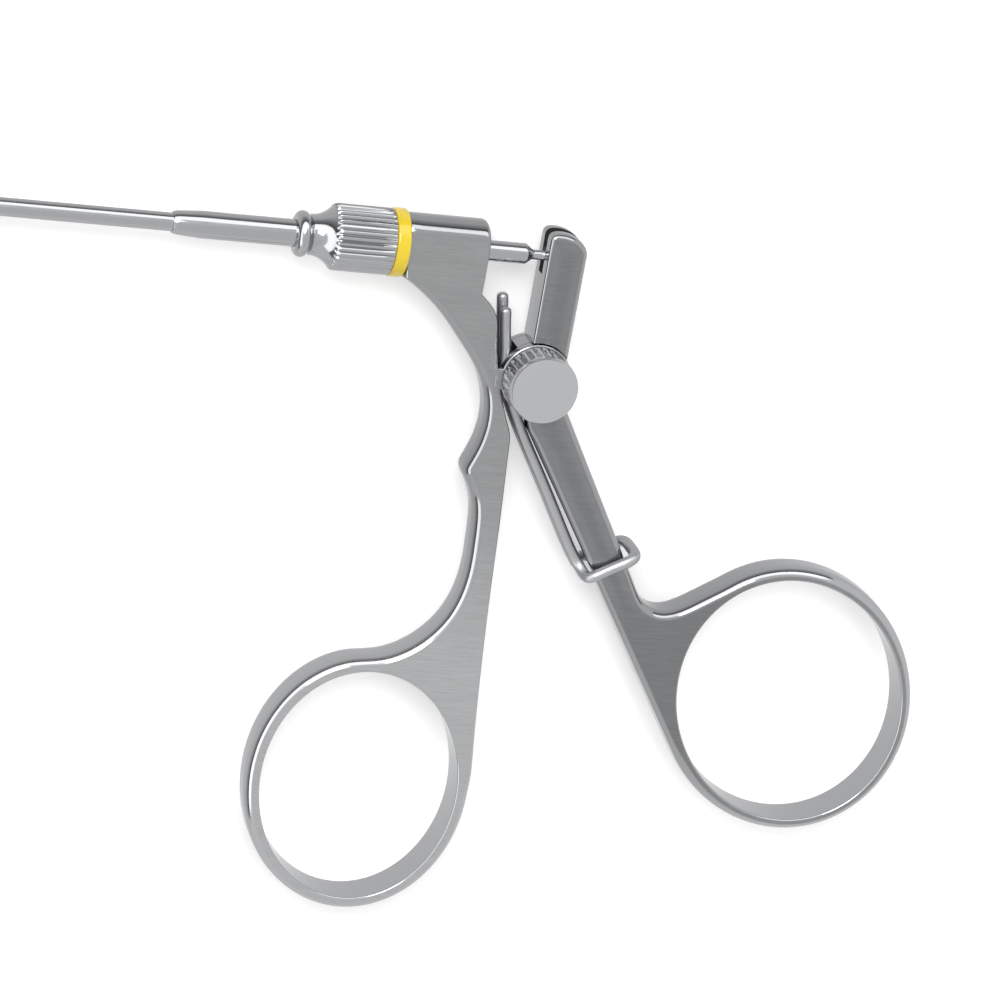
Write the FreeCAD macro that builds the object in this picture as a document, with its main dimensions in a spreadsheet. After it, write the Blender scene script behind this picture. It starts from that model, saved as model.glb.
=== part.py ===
import FreeCAD, Part
import math
import os

# Ring-handled laparoscopic grasper, lying flat with its pivot screw upwards.
# Origin on the shaft axis where the bare tube meets its reinforcing sleeve.
# X runs along the shaft towards the hand, Y from the finger rings up to the shaft,
# Z out of the handle's flat side. All sizes are in millimetres.

SIZES = [
    ("tube_diameter", 2.7, "outer diameter of the shaft tube"),
    ("tube_bore", 2.1, "inner diameter of the shaft tube"),
    ("tube_seat", 2.6, "tube ground down inside the sleeve and hub"),
    ("tube_overlap", 0.1, "full-size tube inside the sleeve's nose"),
    ("braze_groove", 0.62, "width of the groove for the braze at both ends of the full-size tube"),
    ("braze_groove_diameter", 2.36, "floor of that groove"),
    ("clevis_diameter", 2.5, "forked tip of the shaft"),
    ("working_length", 200.0, "sleeve to jaw pivot"),
    ("sleeve_diameter", 4.0, "reinforcing sleeve"),
    ("sleeve_length", 18.0, "visible length of the sleeve"),
    ("sleeve_lip", 4.2, "length of the sleeve's tapered nose"),
    ("braze_gap", 0.02, "radial gap of brazed and pressed joints"),
    ("run_gap", 0.05, "radial running clearance"),
    ("face_gap", 0.1, "gap between faces that turn past each other"),
    ("wheel_diameter", 9.8, "fluted turning wheel"),
    ("wheel_length", 14.3, "turning wheel without its spigot"),
    ("bead_diameter", 6.8, "rolled bead at the wheel's nose"),
    ("flare_length", 6.4, "bead and concave flare together"),
    ("flute_count", 40, "flutes round the wheel"),
    ("flute_width", 0.6, "width of one flute at the rim"),
    ("flute_depth", 0.26, "depth of one flute"),
    ("ring_diameter", 10.1, "colour ring"),
    ("ring_width", 2.1, "colour ring"),
    ("spigot_diameter", 8.0, "seat of the colour ring"),
    ("hub_diameter", 4.5, "journal that turns in the barrel"),
    ("hub_overlap", 12.3, "journal length inside the wheel"),
    ("hub_reach", 6.9, "journal length inside the barrel"),
    ("barrel_diameter", 9.2, "barrel of the fixed handle"),
    ("barrel_length", 12.2, "barrel of the fixed handle"),
    ("barrel_width", 7.2, "across the barrel's flats"),
    ("bush_wall", 0.6, "wall of the barrel bush"),
    ("bush_length", 6.1, "length of the barrel bush"),
    ("clip_thickness", 0.36, "retaining clip"),
    ("plate_thickness", 6.2, "handle and lever plates"),
    ("taper_radius", 780.0, "hollow sweep of the handle's sides below the barrel"),
    ("taper_end", 32.0, "below the axis, where the handle has plate thickness"),
    ("edge_bevel", 0.6, "broken edges of the plates"),
    ("corner_round", 0.9, "rounded corners of the plates' outlines"),
    ("drive_rod_diameter", 1.2, "long drive rod"),
    ("rod_end_diameter", 3.1, "thick rear end of the drive rod"),
    ("rod_shoulder", 6.4, "end of the thick rod behind the barrel"),
    ("rod_cone", 0.9, "cone between rod and neck"),
    ("neck_diameter", 1.5, "neck in the yoke slot"),
    ("ball_diameter", 2.4, "ball in the yoke seat"),
    ("ball_setback", 0.6, "ball centre behind the pivot axis"),
    ("gland_length", 3.4, "gland bush at the barrel's rear"),
    ("gland_diameter", 5.2, "gland bush at the barrel's rear"),
    ("seal_cord", 0.66, "section of the rod seal"),
    ("pivot_behind", 10.4, "lever pivot behind the barrel's rear face"),
    ("pivot_below", 18.2, "lever pivot below the shaft axis"),
    ("boss_radius", 5.4, "round ears of the fixed handle at the pivot"),
    ("tongue_thickness", 3.4, "tongue of the lever between the ears"),
    ("tongue_gap", 0.1, "gap between tongue and ears"),
    ("recess_gap", 0.2, "room round the ears in the lever's sides"),
    ("screw_diameter", 3.3, "plain shank of the pivot screw"),
    ("thread_diameter", 2.8, "threaded end of the pivot screw"),
    ("pivot_bush_wall", 0.4, "bush in the tongue"),
    ("knob_diameter", 10.0, "knurled head of the pivot screw"),
    ("knob_height", 5.2, "knurled head of the pivot screw"),
    ("knob_collar", 0.8, "plain collar under the knurl"),
    ("knob_chamfer", 0.45, "bright chamfer round the face"),
    ("knob_flute_count", 26, "flutes round the knob"),
    ("knob_flute_width", 0.8, "width of one knob flute at the rim"),
    ("knob_flute_depth", 0.36, "depth of one knob flute"),
    ("arm_width", 6.05, "upper arm of the lever"),
    ("arm_front", 1.3, "upper arm's front edge ahead of the pivot"),
    ("arm_top", 4.15, "top of the lever's head above the axis"),
    ("yoke_slot", 1.8, "slot in the lever's head"),
    ("yoke_depth", 2.6, "slot floor below the axis"),
    ("lower_slant", 57.5, "slope of the lower arm from the shaft axis, degrees"),
    ("lower_front", 4.0, "lower arm's front edge ahead of the pivot"),
    ("lower_width", 6.1, "lower arm of the lever below the boss"),
    ("lower_width_end", 5.2, "lower arm of the lever at its ring"),
    ("tongue_front", 2.75, "tongue's front edge ahead of the pivot, behind the spring"),
    ("finger_hole_long", 37.6, "finger ring hole, long way"),
    ("finger_hole_short", 30.8, "finger ring hole, short way"),
    ("finger_wall", 2.2, "band of the finger ring"),
    ("finger_x", 40.7, "centre of the finger ring"),
    ("finger_y", 85.2, "centre of the finger ring below the axis"),
    ("finger_tilt", 97.0, "long way of the finger ring, degrees"),
    ("thumb_hole_long", 41.6, "thumb ring hole, long way"),
    ("thumb_hole_short", 35.6, "thumb ring hole, short way"),
    ("thumb_wall", 2.0, "band of the thumb ring"),
    ("thumb_reach", 68.2, "pivot to thumb ring centre along the lower arm"),
    ("spring_wire", 1.66, "wire of the return spring"),
    ("spring_leg_gap", 0.08, "gap between the spring's two legs"),
    ("spring_side_gap", 0.1, "spring beside the lever"),
    ("spring_reach", 33.0, "pivot to where the spring crosses the lower arm"),
    ("spring_behind", 1.05, "spring's bend behind the lower arm"),
    ("spring_top", 9.9, "spring's near tip above the pivot"),
    ("spring_far_top", 11.8, "spring's far tip above the pivot"),
    ("clevis_length", 12.0, "clevis ahead of the tube"),
    ("clevis_slot", 1.4, "slot between the clevis cheeks"),
    ("clevis_spigot", 4.0, "clevis inside the tube"),
    ("jaw_length", 12.0, "pivot to jaw tip"),
    ("jaw_pin_diameter", 0.7, "jaw pivot pin"),
    ("drive_pin_diameter", 0.5, "cross pin in the cam slots"),
    ("tail_thickness", 0.4, "flat tail of one jaw"),
    ("blade_thickness", 0.4, "flat blade of the drive rod"),
    ("cam_start", 1.3, "cross pin from the jaw pivot, jaws open"),
    ("cam_wall", 0.42, "metal round a cam slot"),
    ("jaw_open", 20.0, "opening of one jaw, degrees"),
    ("lever_swing", 7.5, "travel of the lever, degrees"),
    ("tooth_pitch", 0.6, "serrations of the jaws"),
    ("tooth_depth", 0.18, "serrations of the jaws"),
]

doc = FreeCAD.newDocument("grasper")
sheet = doc.addObject("Spreadsheet::Sheet", "Sizes")
for row, (alias, value, note) in enumerate(SIZES, start=1):
    sheet.set("A%d" % row, note)
    sheet.set("B%d" % row, str(value))
    sheet.setAlias("B%d" % row, alias)
doc.recompute()


class Size:
    """A length that knows its number and the sheet formula that it comes from."""

    def __init__(self, value, formula):
        self.value = float(value)
        self.formula = formula

    def join(self, other, sign, value):
        return Size(value, "(%s %s %s)" % (self.formula, sign, other.formula))

    def __add__(self, other):
        other = as_size(other)
        return self.join(other, "+", self.value + other.value)

    def __sub__(self, other):
        other = as_size(other)
        return self.join(other, "-", self.value - other.value)

    def __mul__(self, other):
        other = as_size(other)
        return self.join(other, "*", self.value * other.value)

    def __truediv__(self, other):
        other = as_size(other)
        return self.join(other, "/", self.value / other.value)

    def __neg__(self):
        return Size(-self.value, "(0 - %s)" % self.formula)


def as_size(number):
    """A plain number as a Size."""
    if isinstance(number, Size):
        return number
    return Size(number, "(%r)" % float(number))


def size(alias):
    """A driving dimension of the sheet."""
    return Size(sheet.get(alias), "Sizes." + alias)


def half(alias):
    """Half a driving dimension, such as a radius."""
    return size(alias) / 2


# Stations along the shaft
zero = as_size(0)
wheel_front = size("sleeve_length")
ring_front = wheel_front + size("wheel_length")
barrel_front = ring_front + size("ring_width")
barrel_rear = barrel_front + size("barrel_length")
hub_front = ring_front + size("ring_width") - size("face_gap") - size("hub_overlap")
hub_rear = barrel_front + size("hub_reach")
tube_rear = ring_front + 1.0
bush_rear = barrel_front + size("bush_length")
gland_front = barrel_rear - size("gland_length")
seal_front = gland_front - size("seal_cord") - 0.04
jaw_pivot = -size("working_length")
tube_front = jaw_pivot - 1.5 + size("clevis_length")

# Radii
tube_r = half("tube_diameter")
seat_r = half("tube_seat")
clevis_r = half("clevis_diameter")
bore_r = half("tube_bore")
hub_r = half("hub_diameter")
bush_in = hub_r + size("run_gap")
bush_out = bush_in + size("bush_wall")
rod_r = half("rod_end_diameter")
drive_r = half("drive_rod_diameter")
shank_r = half("screw_diameter")
thread_r = half("thread_diameter")
wheel_r = half("wheel_diameter")

# Lever pivot and plates
pivot_x = barrel_rear + size("pivot_behind")
pivot_y = -size("pivot_below")
plate_half = half("plate_thickness")
tongue_half = half("tongue_thickness")
slot_half = tongue_half + size("tongue_gap")
PIVOT = FreeCAD.Vector(pivot_x.value, pivot_y.value, 0)


def body(label):
    """An empty body with its own label."""
    made = doc.addObject("PartDesign::Body", label)
    made.Label = label
    return made


def plane_of(owner, role):
    """One of a body's own origin planes."""
    for feature in owner.Origin.OriginFeatures:
        if feature.Role == role:
            return feature
    raise ValueError(role)


def sketch_on(owner, name, role, lift=None):
    """A sketch on an origin plane of the body, lifted along its normal by a size."""
    sketch = owner.newObject("Sketcher::SketchObject", name)
    sketch.AttachmentSupport = [(plane_of(owner, role), "")]
    sketch.MapMode = "FlatFace"
    if lift is not None:
        lift = as_size(lift)
        sketch.setExpression(".AttachmentOffset.Base.z", lift.formula)
    return sketch


def pin_point(sketch, index, end, x, y):
    """Hold one end of a sketch edge at sizes measured from the sketch origin."""
    for kind, length in (("DistanceX", x), ("DistanceY", y)):
        number = sketch.addConstraint(Sketcher.Constraint(kind, -1, 1, index, end, length.value))
        sketch.setExpression("Constraints[%d]" % number, length.formula)


def arc_between(start, end, radius, side):
    """Circular arc from start to end with a radius, bulging to one side of the chord."""
    chord = end - start
    middle = (start + end) * 0.5
    rise = radius - math.sqrt(max(radius * radius - chord.Length ** 2 / 4, 0.0))
    normal = FreeCAD.Vector(chord.y, -chord.x, 0).normalize() * side
    return Part.Arc(start, middle + normal * rise, end)


def outline(sketch, corners):
    """Closed outline. A corner is (x, y), or (x, y, radius, side) where an arc leaves it."""
    points = [FreeCAD.Vector(as_size(c[0]).value, as_size(c[1]).value, 0) for c in corners]
    first = sketch.GeometryCount
    count = len(corners)
    starts = []
    for n, corner in enumerate(corners):
        here, there = points[n], points[(n + 1) % count]
        if len(corner) == 2:
            sketch.addGeometry(Part.LineSegment(here, there), False)
            starts.append((1, 2))
        else:
            arc = arc_between(here, there, as_size(corner[2]).value, corner[3])
            index = sketch.addGeometry(arc, False)
            begin = sketch.getPoint(index, 1)
            starts.append((1, 2) if begin.distanceToPoint(here) < 1e-6 else (2, 1))
    for n, corner in enumerate(corners):
        after = (n + 1) % count
        sketch.addConstraint(
            Sketcher.Constraint("Coincident", first + n, starts[n][1], first + after, starts[after][0])
        )
        pin_point(sketch, first + n, starts[n][0], as_size(corner[0]), as_size(corner[1]))
        if len(corner) == 4:
            radius = as_size(corner[2])
            number = sketch.addConstraint(Sketcher.Constraint("Radius", first + n, radius.value))
            sketch.setExpression("Constraints[%d]" % number, radius.formula)


def circle(sketch, x, y, radius):
    """Circle held at a place and a radius."""
    x, y, radius = as_size(x), as_size(y), as_size(radius)
    centre = FreeCAD.Vector(x.value, y.value, 0)
    normal = FreeCAD.Vector(0, 0, 1)
    index = sketch.addGeometry(Part.Circle(centre, normal, radius.value), False)
    pin_point(sketch, index, 3, x, y)
    number = sketch.addConstraint(Sketcher.Constraint("Radius", index, radius.value))
    sketch.setExpression("Constraints[%d]" % number, radius.formula)


def notch(sketch, radius, width, depth):
    """V-shaped notch in a rim of some radius, above the sketch's centre."""
    above = depth * 0.6
    spread = width * 0.8
    outline(sketch, [(zero, radius - depth), (spread, radius + above), (-spread, radius + above)])


def ellipse(sketch, centre, long_way, short_way, tilt):
    """Whole ellipse with its long way at a tilt in degrees."""
    index = sketch.addGeometry(oval(centre, long_way, short_way, tilt), False)
    sketch.addConstraint(Sketcher.Constraint("Block", index))


def smooth(sketch, points, first=None, last=None):
    """Smooth open curve through points, with its direction given at both ends if wanted."""
    curve = Part.BSplineCurve()
    spots = [FreeCAD.Vector(point[0], point[1], 0) for point in points]
    if first is None:
        curve.interpolate(spots)
    else:
        curve.interpolate(Points=spots, InitialTangent=first, FinalTangent=last)
    return sketch.addGeometry(curve, False)


def oval(centre, long_way, short_way, tilt):
    """Ellipse with its long way at a tilt in degrees, and its two directions."""
    turn = math.radians(tilt)
    along = FreeCAD.Vector(math.cos(turn), math.sin(turn), 0)
    across = FreeCAD.Vector(-math.sin(turn), math.cos(turn), 0)
    return Part.Ellipse(centre + along * long_way, centre + across * short_way, centre)


def oval_end(shape, turn):
    """Point of an ellipse at a parameter in degrees, and its direction there."""
    place = math.radians(turn)
    return shape.value(place), shape.tangent(place)[0]


def oval_arc(sketch, shape, start, end):
    """Part of an ellipse between two parameters in degrees."""
    sketch.addGeometry(Part.ArcOfEllipse(shape, math.radians(start), math.radians(end)), False)


def straight(sketch, points):
    """Straight edges through points."""
    for (ax, ay), (bx, by) in zip(points, points[1:]):
        sketch.addGeometry(Part.LineSegment(FreeCAD.Vector(ax, ay, 0), FreeCAD.Vector(bx, by, 0)), False)


def pad(owner, sketch, length, middle=True):
    """Pad a sketch by a length, either side of its plane."""
    made = owner.newObject("PartDesign::Pad", sketch.Name + "_pad")
    made.Profile = sketch
    made.Midplane = middle
    made.setExpression("Length", as_size(length).formula)
    sketch.Visibility = False
    return made


def pocket(owner, sketch, length=None, middle=True):
    """Cut a sketch out of the body, through all of it or to a length."""
    made = owner.newObject("PartDesign::Pocket", sketch.Name + "_cut")
    made.Profile = sketch
    made.Midplane = middle
    if length is None:
        made.Type = "ThroughAll"
    else:
        made.setExpression("Length", as_size(length).formula)
    return made


def turned(owner, sketch, feature="PartDesign::Revolution", axis="H_Axis", angle=360.0):
    """Turn or groove a sketch about one of its own axes."""
    made = owner.newObject(feature, sketch.Name + "_turn")
    made.Profile = sketch
    made.ReferenceAxis = (sketch, [axis])
    made.Angle = angle
    return made


def turned_body(label, corners):
    """Body turned about the shaft axis from an outline of station and radius."""
    owner = body(label)
    sketch = sketch_on(owner, label + "_section", "XY_Plane")
    outline(sketch, corners)
    turned(owner, sketch)
    return owner


def repeat_round(owner, feature, axis_role, count):
    """Polar pattern of a feature about an origin axis of the body."""
    made = owner.newObject("PartDesign::PolarPattern", feature.Name + "_round")
    made.Originals = [feature]
    made.Axis = (plane_of(owner, axis_role), [""])
    made.Angle = 360
    made.setExpression("Occurrences", count.formula)
    owner.Tip = made
    return made


def break_edges(owner, width, chosen, feature="PartDesign::Chamfer", kind="Size"):
    """Bevel or round the edges of the body that a test picks."""
    doc.recompute()
    base = owner.Tip
    names = []
    for number, edge in enumerate(base.Shape.Edges, start=1):
        if chosen(edge):
            names.append("Edge%d" % number)
    made = owner.newObject(feature, base.Name + "_edges")
    made.Base = (base, names)
    made.setExpression(kind, as_size(width).formula)
    return made


def ring_of(label, inner, outer, start, length, axis="X", at=(0, 0)):
    """Plain tube from two cylinders, along X or Z."""
    bar = cylinder(label + "_outside", outer, start, length, axis, at)
    core = cylinder(label + "_inside", inner, start - 1, length + 2, axis, at)
    made = doc.addObject("Part::Cut", label)
    made.Base = bar
    made.Tool = core
    made.Label = label
    return made


def cylinder(name, radius, start, length, axis="X", at=(0, 0)):
    """Cylinder along X, or along Z through a point of the XY plane."""
    made = doc.addObject("Part::Cylinder", name)
    made.Label = name
    made.setExpression("Radius", as_size(radius).formula)
    made.setExpression("Height", as_size(length).formula)
    start = as_size(start)
    if axis == "X":
        made.Placement.Rotation = FreeCAD.Rotation(FreeCAD.Vector(0, 1, 0), 90)
        made.setExpression(".Placement.Base.x", start.formula)
    else:
        made.setExpression(".Placement.Base.x", as_size(at[0]).formula)
        made.setExpression(".Placement.Base.y", as_size(at[1]).formula)
        made.setExpression(".Placement.Base.z", start.formula)
    return made


def seal_ring(label, middle_radius, cord_radius, station):
    """Seal about the shaft axis, with an eight-sided section."""
    corners = []
    for n in range(8):
        turn = math.radians(22.5 + 45 * n)
        corners.append((station + cord_radius * math.cos(turn), middle_radius + cord_radius * math.sin(turn)))
    return turned_body(label, corners)


import Sketcher


def outer_tube():
    """Thin shaft tube from the clevis to the hub."""
    full = size("tube_overlap")
    groove = size("braze_groove")
    floor = half("braze_groove_diameter")
    return turned_body("outer_tube", [
        (tube_front, bore_r), (tube_rear, bore_r), (tube_rear, seat_r), (full + groove, seat_r),
        (full + groove, floor), (full, floor), (full, tube_r), (tube_front, tube_r),
    ])


def shaft_sleeve():
    """Reinforcing sleeve with a rounded nose and a slight taper."""
    mouth = tube_r + size("braze_gap")
    inside = seat_r + size("braze_gap")
    step = size("tube_overlap") + size("face_gap")
    outside = half("sleeve_diameter")
    lip = outside - 0.28
    return turned_body("shaft_sleeve", [
        (zero, mouth), (step, mouth), (step, inside), (hub_front - size("face_gap"), inside), (hub_front - size("face_gap"), outside),
        (size("sleeve_lip"), outside), (as_size(0.5), lip, as_size(0.5), 1), (zero, lip - 0.3),
    ])


def rotation_wheel():
    """Turning wheel: rolled bead, concave flare, then a fluted cylinder with a spigot."""
    sleeve_in = half("sleeve_diameter") + size("braze_gap")
    hub_in = hub_r + size("braze_gap")
    bead = half("bead_diameter")
    flare_end = wheel_front + size("flare_length")
    spigot = half("spigot_diameter")
    rear = barrel_front - size("face_gap")
    owner = turned_body("rotation_wheel", [
        (wheel_front, sleeve_in), (hub_front, sleeve_in), (hub_front, hub_in), (rear, hub_in),
        (rear, spigot), (ring_front, spigot), (ring_front, wheel_r - 0.15),
        (ring_front - 0.15, wheel_r), (flare_end, wheel_r, as_size(1.4), 1),
        (flare_end - 1.1, wheel_r - 0.5, as_size(5.2), -1),
        (wheel_front + 1.7, bead - 0.02, as_size(0.9), 1),
        (wheel_front, bead - 0.55),
    ])
    sketch = sketch_on(owner, "flute", "YZ_Plane", flare_end - 2.4)
    notch(sketch, wheel_r, size("flute_width"), size("flute_depth"))
    cut = pocket(owner, sketch, size("wheel_length"), middle=False)
    cut.Reversed = True
    repeat_round(owner, cut, "X_Axis", size("flute_count"))
    return owner


def wheel_hub():
    """Journal that carries wheel, sleeve and tube and turns in the barrel."""
    tube_seat = seat_r + size("braze_gap")
    rod_seat = rod_r + 0.1
    drive_seat = drive_r + 0.15
    counterbore = hub_rear - 3.2
    groove = hub_rear - 0.7
    clip = size("clip_thickness") + 0.04
    seal = barrel_front + 1.0
    cord = as_size(0.56)
    return turned_body("wheel_hub", [
        (hub_front, tube_seat), (tube_rear, tube_seat), (tube_rear, drive_seat),
        (counterbore, drive_seat), (counterbore, rod_seat), (hub_rear, rod_seat),
        (hub_rear, hub_r), (groove + clip, hub_r), (groove + clip, hub_r - 0.3),
        (groove, hub_r - 0.3), (groove, hub_r), (seal + cord + 0.04, hub_r),
        (seal + cord + 0.04, hub_r - cord + 0.02), (seal, hub_r - cord + 0.02), (seal, hub_r),
        (hub_front, hub_r),
    ])


def colour_ring():
    """Glossy ring seated on the wheel's spigot, with softened edges."""
    inside = half("spigot_diameter") + size("braze_gap")
    outside = half("ring_diameter")
    rear = barrel_front - size("face_gap")
    soft = 0.25
    return turned_body("colour_ring", [
        (ring_front, inside), (rear, inside), (rear, outside - soft), (rear - soft, outside),
        (ring_front + soft, outside), (ring_front, outside - soft),
    ])


def rod_end():
    """Thick rear end of the drive rod, with cone, neck and ball."""
    front = hub_rear - 3.1
    shoulder = barrel_rear + size("rod_shoulder")
    ball_x = pivot_x + size("ball_setback")
    ball_r = half("ball_diameter")
    neck_r = half("neck_diameter")
    meet = Size(math.sqrt(ball_r.value ** 2 - neck_r.value ** 2),
                "sqrt(%s * %s - %s * %s)" % (ball_r.formula, ball_r.formula, neck_r.formula, neck_r.formula))
    inside = drive_r + size("braze_gap")
    return turned_body("rod_end", [
        (front, inside), (front + 6, inside), (front + 6, zero), (ball_x + ball_r, zero, ball_r, 1),
        (ball_x - meet, neck_r), (shoulder + size("rod_cone"), neck_r), (shoulder, rod_r), (front, rod_r),
    ])


def handle_outline(sketch):
    """Stem and ring of the fixed handle: finger curve, spur, sweep into the ring, rear edge."""
    top = barrel_front.value
    rear = barrel_rear.value
    wall = size("finger_wall").value
    long_way = half("finger_hole_long").value + wall
    short_way = half("finger_hole_short").value + wall
    shape = oval(finger_centre(), long_way, short_way, size("finger_tilt").value)
    px, py = pivot_x.value, pivot_y.value
    cx, cy = finger_centre().x, finger_centre().y
    crest = cy + long_way
    spur = (px - 8.6, py - 15.4)
    bulge = (px - 2.1, py - 9.3)
    joint, along = oval_end(shape, 8)
    parting, upward = oval_end(shape, 268)
    smooth(sketch, [
        (top + 0.1, -4.4), (top + 5.5, -8.4), (px - 11.8, py + 4.1), (px - 8.1, py - 1.0),
        (px - 6.55, py - 6.4), (px - 7.0, py - 11.1), spur,
    ])
    smooth(sketch, [
        spur, (px - 6.4, py - 19.4), (px - 5.35, py - 26.5), (px - 5.35, py - 31.8),
        (cx + 8.9, crest + 6.9), (cx + 5.5, crest + 2.9), (cx + 0.3, crest + 0.2), joint,
    ], FreeCAD.Vector(1.4, -2.4, 0), along)
    oval_arc(sketch, shape, 8, 268)
    smooth(sketch, [
        parting, (cx + short_way - 1.05, cy + 12.9), (px - 0.85, py - 36.0), (px - 1.65, py - 18.0), bulge,
    ], upward, FreeCAD.Vector(-0.03, 1, 0))
    smooth(sketch, [
        bulge, (px - 3.9, py - 5.1), (px - 5.4, py - 0.5), (px - 6.9, py + 5.6),
        (rear + 2.6, py + 9.5), (rear - 0.1, py + 12.4),
    ])
    straight(sketch, [
        (rear - 0.1, py + 12.4), (rear - 0.1, 0.0), (top + 0.1, 0.0), (top + 0.1, -4.4),
    ])


def finger_centre():
    """Centre of the finger ring."""
    return FreeCAD.Vector(size("finger_x").value, -size("finger_y").value, 0)


def fixed_handle():
    """Fixed handle: barrel, tapering stem with finger spur, ring and two pivot ears."""
    owner = body("fixed_handle")
    stem = sketch_on(owner, "stem", "XY_Plane")
    handle_outline(stem)
    ellipse(stem, finger_centre(), half("finger_hole_long").value, half("finger_hole_short").value,
            size("finger_tilt").value)
    pad(owner, stem, size("barrel_width"))
    # the sides sweep from the barrel's flats to the plate thickness
    sides = sketch_on(owner, "side_sweeps", "YZ_Plane")
    end_y = -size("taper_end")
    low_y = -size("finger_y") - size("finger_hole_long")
    wide = half("barrel_width")
    sweep = size("taper_radius")
    run = size("taper_end") - 1
    rise = Size(sweep.value - math.sqrt(sweep.value ** 2 - run.value ** 2),
                "(%s - sqrt(%s * %s - %s * %s))" % (
                    sweep.formula, sweep.formula, sweep.formula, run.formula, run.formula))
    for sign in (1, -1):
        edge, thin, out = (plate_half + rise) * sign, plate_half * sign, (wide + 1) * sign
        outline(sides, [(as_size(-1), edge, sweep, sign), (end_y, thin), (low_y, thin), (low_y, out),
                        (as_size(-1), out)])
    pocket(owner, sides)

    def is_corner(edge):
        box = edge.BoundBox
        upright = box.XLength + box.YLength < 0.01 and box.ZLength > 5
        return upright and -40.0 < box.YMin < -20.0

    break_edges(owner, size("corner_round"), is_corner, "PartDesign::Fillet", "Radius")

    def is_rim(edge):
        box = edge.BoundBox
        on_side = box.ZMax * box.ZMin > 0
        return on_side and box.YMax < -4.3 and not across_plate(edge)

    break_edges(owner, size("edge_bevel"), is_rim)
    barrel = sketch_on(owner, "barrel", "YZ_Plane", barrel_front)
    flat_y = Size(
        math.sqrt(half("barrel_diameter").value ** 2 - wide.value ** 2),
        "sqrt(%s * %s - %s * %s)" % (half("barrel_diameter").formula, half("barrel_diameter").formula,
                                     wide.formula, wide.formula))
    radius = half("barrel_diameter")
    outline(barrel, [(-flat_y, wide), (flat_y, wide, radius, -1), (flat_y, -wide),
                     (-flat_y, -wide, radius, -1)])
    pad(owner, barrel, size("barrel_length"), middle=False)
    # two ears carry the pivot screw, each joined to the stem by a short web beside the spring
    for name, sign in (("near", 1), ("far", -1)):
        ear = sketch_on(owner, name + "_ear", "XY_Plane", slot_half * sign)
        circle(ear, pivot_x, pivot_y, size("boss_radius"))
        layer = pad(owner, ear, plate_half - slot_half, middle=False)
        layer.Reversed = sign < 0
        web = sketch_on(owner, name + "_web", "XY_Plane", slot_half * sign)
        outline(web, [
            (pivot_x - 6.8, pivot_y + 1.5), (pivot_x - 5.3, pivot_y - 5.2), (pivot_x - 3.5, pivot_y - 5.2),
            (pivot_x - 2.4, pivot_y - 4.2), (pivot_x - 3.8, pivot_y + 1.5),
        ])
        layer = pad(owner, web, plate_half - slot_half, middle=False)
        layer.Reversed = sign < 0
    bores = sketch_on(owner, "barrel_bores", "XY_Plane")
    gland = half("gland_diameter") + size("braze_gap")
    seal = rod_r + size("seal_cord") + 0.1
    clip_room = bush_rear + 1.7
    deep = bush_out + size("braze_gap")
    outline(bores, [
        (barrel_front - 1, zero), (barrel_rear + 1, zero), (barrel_rear + 1, gland), (gland_front, gland),
        (gland_front, seal), (seal_front, seal), (seal_front, rod_r + 0.1), (clip_room, rod_r + 0.1),
        (clip_room, deep), (barrel_front - 1, deep),
    ])
    turned(owner, bores, "PartDesign::Groove")
    near = sketch_on(owner, "near_eye", "XY_Plane")
    circle(near, pivot_x, pivot_y, shank_r + size("run_gap"))
    cut = pocket(owner, near, plate_half + 1, middle=False)
    cut.Reversed = True
    far = sketch_on(owner, "far_eye", "XY_Plane")
    circle(far, pivot_x, pivot_y, thread_r + size("run_gap"))
    pocket(owner, far, plate_half + 1, middle=False)
    return owner


def across_plate(edge):
    """True for the straight line across the handle where its side sweep ends."""
    return edge.Length > 1 and edge.BoundBox.YLength < 1e-6


def along_lower(reach, behind):
    """Point at a distance down the lower arm and behind its front edge, from the pivot."""
    turn = math.radians(size("lower_slant").value)
    down = FreeCAD.Vector(math.cos(turn), -math.sin(turn), 0)
    back = FreeCAD.Vector(math.sin(turn), math.cos(turn), 0)
    return PIVOT + down * reach + back * (behind - size("lower_front").value)


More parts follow.
